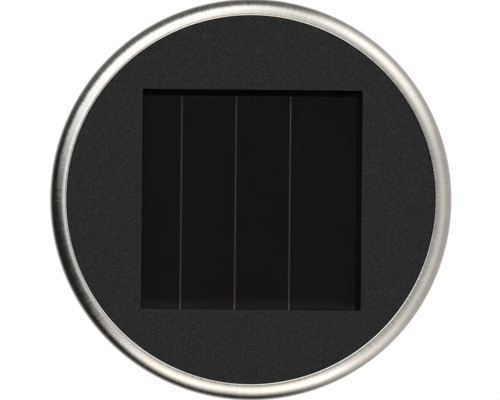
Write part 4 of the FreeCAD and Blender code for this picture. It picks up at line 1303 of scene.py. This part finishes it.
def battery_surface(sizes):
    """Can with rounded ends, a crimped groove and a raised nub, turned about its own length."""
    lo, hi, centre = low("battery"), high("battery"), middle("battery")
    radius = (hi.y - lo.y) / 2
    shoulder = hi.x - sizes.nub_length
    groove, half_groove = shoulder - 3 * MM, 0.8 * MM
    outline = rounded([
        (0, lo.x, 0), (radius, lo.x, 0.7 * MM), (radius, groove - half_groove, 0.5 * MM),
        (radius - sizes.crimp_depth, groove, 0.4 * MM), (radius, groove + half_groove, 0.5 * MM),
        (radius, shoulder, 0.7 * MM), (sizes.nub_radius, shoulder, 0.15 * MM),
        (sizes.nub_radius, hi.x, 0.4 * MM), (0, hi.x, 0)])
    return laid_along_x(turned(outline, whole_turn(96)), centre.y, centre.z)


class PATHLIGHT_OT_contacts(bpy.types.Operator):
    """Battery contacts and spring"""
    bl_idname = "pathlight.contacts"
    bl_label = "Contacts and Spring"

    def execute(self, context):
        finish = nickel_plate(context.scene.path_colours)
        for node in ("battery_contact", "spring_plate"):
            add_copy(node, finish, "head", SHEET_BEVEL)
        sizes = context.scene.path_fittings
        wire = tube(spring_path(sizes), sizes.spring_wire)
        add_made("coil_spring", [wire], finish, "head", "battery_spring")
        return {"FINISHED"}


def spring_path(sizes):
    """Conical helix along X: the radius narrows evenly from foot to tip as the angle grows."""
    lo, hi, centre = low("battery_spring"), high("battery_spring"), middle("battery")
    share = np.linspace(0, 1, 161)
    angles = 2 * math.pi * sizes.spring_turns * share
    radius = sizes.spring_wide + (sizes.spring_narrow - sizes.spring_wide) * share
    x = lo.x + sizes.spring_wire + (hi.x - lo.x - 2 * sizes.spring_wire) * share
    return np.stack([x, centre.y + radius * np.cos(angles), centre.z + radius * np.sin(angles)], axis=-1)


class PATHLIGHT_OT_circuit(bpy.types.Operator):
    """Circuit board and the parts on it"""
    bl_idname = "pathlight.circuit"
    bl_label = "Circuit Board"

    def execute(self, context):
        colours = context.scene.path_colours
        add_copy("circuit_board", board_mask(colours), "head", FINE_BEVEL)
        add_copy("led_driver", chip_resin(colours), "head", FINE_BEVEL)
        add_copy("inductor", choke_resin(colours), "head")
        add_copy("capacitor", capacitor_resin(colours), "head")
        return {"FINISHED"}


class PATHLIGHT_OT_lamp(bpy.types.Operator):
    """Lamp and the small reflector round it"""
    bl_idname = "pathlight.lamp"
    bl_label = "Lamp and Reflector"

    def execute(self, context):
        sizes, colours = context.scene.path_fittings, context.scene.path_colours
        add_made("round_lamp", lamp_surfaces(sizes), lamp_resin(colours), "head", "led")
        bowl = bowl_surface(sizes)
        add_made("lamp_bowl", [bowl], bright_plating(colours), "head", "reflector")
        return {"FINISHED"}


def lamp_surfaces(sizes):
    """Flange, straight body and half-ball dome turned about Z, and two straight leads."""
    bottom, top = low("led").z, high("led").z
    board = low("circuit_board").z
    flange, body, step = sizes.led_flange, sizes.led_radius, board - sizes.led_rise
    outline = rounded([
        (0, board, 0), (flange, board, 0.1 * MM), (flange, step, 0.15 * MM), (body, step, 0.05 * MM),
        (body, bottom, body), (0, bottom, 0)])
    wire = sizes.led_lead
    pin = rounded([(0, board, 0), (wire, board, 0), (wire, top, 0.1 * MM), (0, top, 0)])
    lead = turned(pin, whole_turn(16))
    half_pitch = sizes.led_pitch / 2
    return [turned(outline, whole_turn(64)), *(lead + (x, 0, 0) for x in (-half_pitch, half_pitch))]


def bowl_surface(sizes):
    """Curved bowl with a flange on the floor, turned about Z."""
    bottom, top, flange = low("reflector").z, high("reflector").z, high("reflector").x
    floor_top = low("top_housing").z
    mouth, throat, wall = sizes.bowl_mouth, sizes.bowl_throat, sizes.bowl_wall
    outside = rounded([
        (mouth - wall, bottom, 0), (mouth, bottom, 0.15 * MM), (mouth, floor_top, 0), (flange, floor_top, 0),
        (flange, floor_top + wall, 0.2 * MM), (mouth - 0.2 * MM, floor_top + wall, 0),
        (throat + 1.5 * wall, top, 0.2 * MM), (throat, top, 0)])
    inside = bow((throat, top), (mouth - wall, bottom), sizes.bowl_rise)
    return turned(np.concatenate([outside, inside]), whole_turn(96))


class PATHLIGHT_OT_switch(bpy.types.Operator):
    """Slide switch and its knob"""
    bl_idname = "pathlight.switch"
    bl_label = "Switch"

    def execute(self, context):
        colours = context.scene.path_colours
        add_copy("switch_body", switch_tin(colours), "head", CAN_BEVEL)
        add_copy("switch_knob", knob_plastic(colours), "switch", FINE_BEVEL)
        return {"FINISHED"}


class PATHLIGHT_OT_leads(bpy.types.Operator):
    """Leads from the panel and the battery"""
    bl_idname = "pathlight.leads"
    bl_label = "Leads"

    def execute(self, context):
        colours = context.scene.path_colours
        add_copy("positive_leads", wire_sleeve("red_wire", colours.red), "head")
        add_copy("negative_leads", wire_sleeve("black_wire", colours.black), "head")
        return {"FINISHED"}


# Studio

WHITE = (1.0, 1.0, 1.0)
SENSOR_WIDTH = 36.0
FLOOR_RINGS = (0.0, 1.0, 4.0, 30.0)
FLOOR_WHITE = 1.02
LAMP_SIZE = 1.6
LAMP_PLACE = (0.35, 0.75, 2.2)
LAMP_AIM = Vector((0, 0, 0.3))


class PATHLIGHT_OT_studio(bpy.types.Operator):
    """Camera, pale floor, soft light and the softboxes that the steel mirrors"""
    bl_idname = "pathlight.studio"
    bl_label = "Studio"

    def execute(self, context):
        scene = context.scene
        scene.view_settings.view_transform = "Standard"
        scene.camera = add_camera(scene.path_studio, scene.path_head)
        scene.world = add_sky(scene.path_studio)
        add_floor(scene.path_studio)
        add_lamp(scene.path_studio)
        add_tent()
        return {"FINISHED"}


def add_camera(settings, head):
    """Camera straight above the head, its picture as wide as the settings say at the rim's widest part."""
    camera = placed("camera", bpy.data.cameras.new("camera"))
    camera.data.sensor_width = SENSOR_WIDTH
    camera.data.lens = SENSOR_WIDTH * settings.camera_distance / settings.view_width
    widest = high("rim_shell").z - (high("rim_shell").x - head.rim_inner - head.rim_lip)
    camera.location = (settings.view_right, settings.view_up, widest + settings.camera_distance)
    camera.rotation_euler = (0.0, 0.0, settings.roll)
    return camera


def add_staged(name, material_name, points, faces):
    """Object of the stage, and the nodes of its empty material."""
    mesh = bpy.data.meshes.new(name)
    mesh.from_pydata(points, [], faces)
    material = bpy.data.materials.new(material_name)
    material.use_nodes = True
    mesh.materials.append(material)
    piece = placed(name, mesh)
    nodes = Nodes(material.node_tree)
    nodes.tree.nodes.remove(nodes.tree.nodes["Principled BSDF"])
    return piece, nodes


def show_front(nodes, shader):
    """Show a shader on the front of the faces, and nothing on their back."""
    back = nodes.add("NewGeometry").outputs["Backfacing"]
    clear = nodes.add("BsdfTransparent").outputs[0]
    nodes.fill(nodes.tree.nodes["Material Output"], Surface=nodes.mixed(back, shader, clear))


def hide_from(piece, *rays):
    """Keep an object out of some kinds of ray."""
    for ray in rays:
        setattr(piece, "visible_" + ray, False)


def add_floor(settings):
    """Round pale floor at the spike's tip, seen only from above; most of its white is its own glow."""
    rings = np.array([(radius, CAD_BOX[0][2]) for radius in FLOOR_RINGS])
    points, faces = joined(turned(rings, whole_turn(64)))
    nodes = add_staged("floor", "pale_floor", points, faces[:, ::-1])[1]
    matt = nodes.add("BsdfDiffuse", Color=settings.floor).outputs[0]
    glow = nodes.add("Emission", Strength=FLOOR_WHITE).outputs[0]
    partly = nodes.mixed(settings.floor_glow, matt, glow)
    show_front(nodes, nodes.mixed(nodes.shown_rays(), matt, partly))


def add_sky(settings):
    """Even sky: white to the camera and through clear plastic, softer as light."""
    world = bpy.data.worlds.new("sky")
    world.use_nodes = True
    nodes = Nodes(world.node_tree)
    soft = nodes.fill(nodes.tree.nodes["Background"], Color=WHITE, Strength=settings.sky).outputs[0]
    white = nodes.add("Background", Color=WHITE).outputs[0]
    nodes.fill(nodes.tree.nodes["World Output"], Surface=nodes.mixed(nodes.shown_rays(), soft, white))
    world.cycles_visibility.glossy = False
    return world


def add_lamp(settings):
    """Wide soft lamp high over the upper right of the head, for matt light only."""
    lamp = placed("soft_lamp", bpy.data.lights.new("soft_lamp", "AREA"))
    lamp.data.shape = "DISK"
    lamp.data.size = LAMP_SIZE
    lamp.data.energy = settings.lamp_power
    lamp.location = LAMP_PLACE
    lamp.rotation_euler = (LAMP_AIM - lamp.location).to_track_quat("-Z", "Y").to_euler()
    hide_from(lamp, "camera", "glossy", "transmission")


Softbox = namedtuple("Softbox", "azimuth half_width soft_width start end soft_end strength warmth")

SOFTBOXES = (
    Softbox(122, 40, 40, -30, 69.8, 28, 1.5, 0.5),
    Softbox(50, 23, 26, 29, 88, 40, 0.9, 0.75),
    Softbox(60, 14, 12, 0, 72, 24, 0.25, 1.0),
    Softbox(84, 12, 16, 40, 78, 24, 0.22, 1.0),
    Softbox(0, 66, 44, -30, 200, 16, 0.425, 0.7),
    Softbox(0, 66, 44, 66, 200, 30, 0.08, 1.6),
    Softbox(348, 44, 40, 34, 72, 30, 0.32, 0.9),
    Softbox(262, 39, 14, 12, 67, 30, 1.08, 1.0),
    Softbox(267, 32, 14, 28, 86, 28, 0.5, 1.0),
    Softbox(304, 16, 20, 50, 96, 30, 0.45, 1.0),
    Softbox(185, 45, 40, -30, 17, 30, 1.1, 0.3),
    Softbox(190, 40, 30, -30, 38, 44, 0.1, 0.2),
    Softbox(106, 46, 36, 40, 108, 20, 0.16, 0.5),
)
Gap = namedtuple("Gap", "azimuth half_width soft_width start end soft_end share")

GAPS = (
    Gap(75, 2, 4, 50, 120, 40, 0.5),
    Gap(264, 2.5, 4, 40, 110, 40, 0.5),
)
ROOM = 0.02
Step = namedtuple("Step", "start end level")
BOUNCE = Step(101.0, 121.0, 0.75)
BOUNCE_WARMTH = 0.8
CAMERA_SPOT = Step(5.0, 10.0, 0.06)
COOL_TINT = (0.931, 0.975, 0.996)
WARM_TINT = (1.036, 0.975, 0.91)
TENT_REACH = 4.0
TENT_DROP = 0.045
TENT_TILTS = np.concatenate([
    [0.02], np.arange(1.5, 90, 1.5), np.arange(90, 92, 0.25), np.arange(92, 146, 1.5)])
CURTAIN_REACH = 1.5
CURTAIN_TILT = 64.0


def add_tent():
    """Dome over the head that only mirrors see, flat just under the rim, and a round curtain for the pole.

    The glow and its warmth are kept with each point.
    """
    centre_z = middle("rim_shell").z
    around = whole_turn(180)
    tilt = np.radians(TENT_TILTS)
    size = TENT_DROP / np.maximum(-np.cos(tilt), TENT_DROP / TENT_REACH)
    dome = turned(np.stack([size * np.sin(tilt), centre_z + size * np.cos(tilt)], axis=-1), around)
    ends = (centre_z - TENT_DROP, CAD_BOX[0][2])
    curtain = turned(np.array([(CURTAIN_REACH, z) for z in ends]), around)
    tent, nodes = add_staged("reflection_tent", "tent_glow", *joined(dome, curtain))
    tilts = np.append(TENT_TILTS, [CURTAIN_TILT, CURTAIN_TILT])
    kept = []
    for name, values in zip(("glow", "warmth"), tent_glow(np.degrees(around), tilts[:, None])):
        tent.data.attributes.new(name, "FLOAT", "POINT").data.foreach_set("value", values.ravel())
        node = nodes.add("Attribute")
        node.attribute_name = name
        kept.append(node.outputs["Fac"])
    level, warmth = kept
    glow = nodes.add("Emission", Color=nodes.tint(warmth, COOL_TINT, WARM_TINT), Strength=level)
    show_front(nodes, glow.outputs[0])
    tent.data.materials[0].cycles.emission_sampling = "NONE"
    hide_from(tent, "camera", "diffuse", "transmission", "volume_scatter", "shadow")


def window(value, half, soft):
    """1 within half of the centre, falling to 0 over a soft width on each side."""
    return 1 - step_up(np.abs(value), half - soft / 2, half + soft / 2)


def patch(box, azimuths, tilts):
    """Window in azimuth times one in the angle from straight up, in degrees: 1 in the middle of the box."""
    across = (azimuths - box.azimuth + 180) % 360 - 180
    along = tilts - (box.start + box.end) / 2
    half_tilt = (box.end - box.start) / 2
    return window(across, box.half_width, box.soft_width) * window(along, half_tilt, box.soft_end)


def tent_glow(azimuths, tilts):
    """Sum of the softboxes, less a share of it in the narrow gaps between them.

    Light off the floor is added low down, and the round spot overhead where the camera stands is darker. The
    warmth is the mean of the warmth of the lights, each counted by its share.
    """
    total = ROOM + 0 * tilts + 0 * azimuths
    warm = 0 * total
    for box in SOFTBOXES:
        light = box.strength * patch(box, azimuths, tilts)
        total += light
        warm += box.warmth * light
    for gap in GAPS:
        kept = 1 - gap.share * patch(gap, azimuths, tilts)
        total *= kept
        warm *= kept
    bounced = np.maximum(BOUNCE.level * step_up(tilts, BOUNCE.start, BOUNCE.end) - total, 0)
    warm += BOUNCE_WARMTH * bounced
    total += bounced
    spot = CAMERA_SPOT
    return spot.level + (total - spot.level) * step_up(tilts, spot.start, spot.end), warm / total


# Add-on

OPERATORS = (
    PATHLIGHT_OT_rim, PATHLIGHT_OT_top_plate, PATHLIGHT_OT_solar_panel, PATHLIGHT_OT_lower_housing,
    PATHLIGHT_OT_lens, PATHLIGHT_OT_lens_base, PATHLIGHT_OT_cone, PATHLIGHT_OT_seal, PATHLIGHT_OT_pole,
    PATHLIGHT_OT_spike, PATHLIGHT_OT_screws, PATHLIGHT_OT_battery, PATHLIGHT_OT_contacts,
    PATHLIGHT_OT_circuit, PATHLIGHT_OT_lamp, PATHLIGHT_OT_switch, PATHLIGHT_OT_leads, PATHLIGHT_OT_studio,
)


class PATHLIGHT_PT_sidebar(bpy.types.Panel):
    """Buttons for the pieces of the path light"""
    bl_idname = "PATHLIGHT_PT_sidebar"
    bl_label = "Solar Path Light"
    bl_space_type = "VIEW_3D"
    bl_region_type = "UI"
    bl_category = "Path Light"

    def draw(self, context):
        for operator in OPERATORS:
            self.layout.operator(operator.bl_idname)


SETTINGS = {
    "path_head": HeadSizes,
    "path_lens": LensSizes,
    "path_fittings": FittingSizes,
    "path_colours": FinishColours,
    "path_studio": StudioSettings,
}
CLASSES = (*SETTINGS.values(), *OPERATORS, PATHLIGHT_PT_sidebar)


def register():
    for group in CLASSES:
        bpy.utils.register_class(group)
    for name, group in SETTINGS.items():
        setattr(bpy.types.Scene, name, PointerProperty(type=group))


def unregister():
    for name in SETTINGS:
        delattr(bpy.types.Scene, name)
    for group in reversed(CLASSES):
        bpy.utils.unregister_class(group)


def main():
    register()
    for operator in OPERATORS:
        family, action = operator.bl_idname.split(".")
        getattr(getattr(bpy.ops, family), action)()


if __name__ == "__main__":
    main()
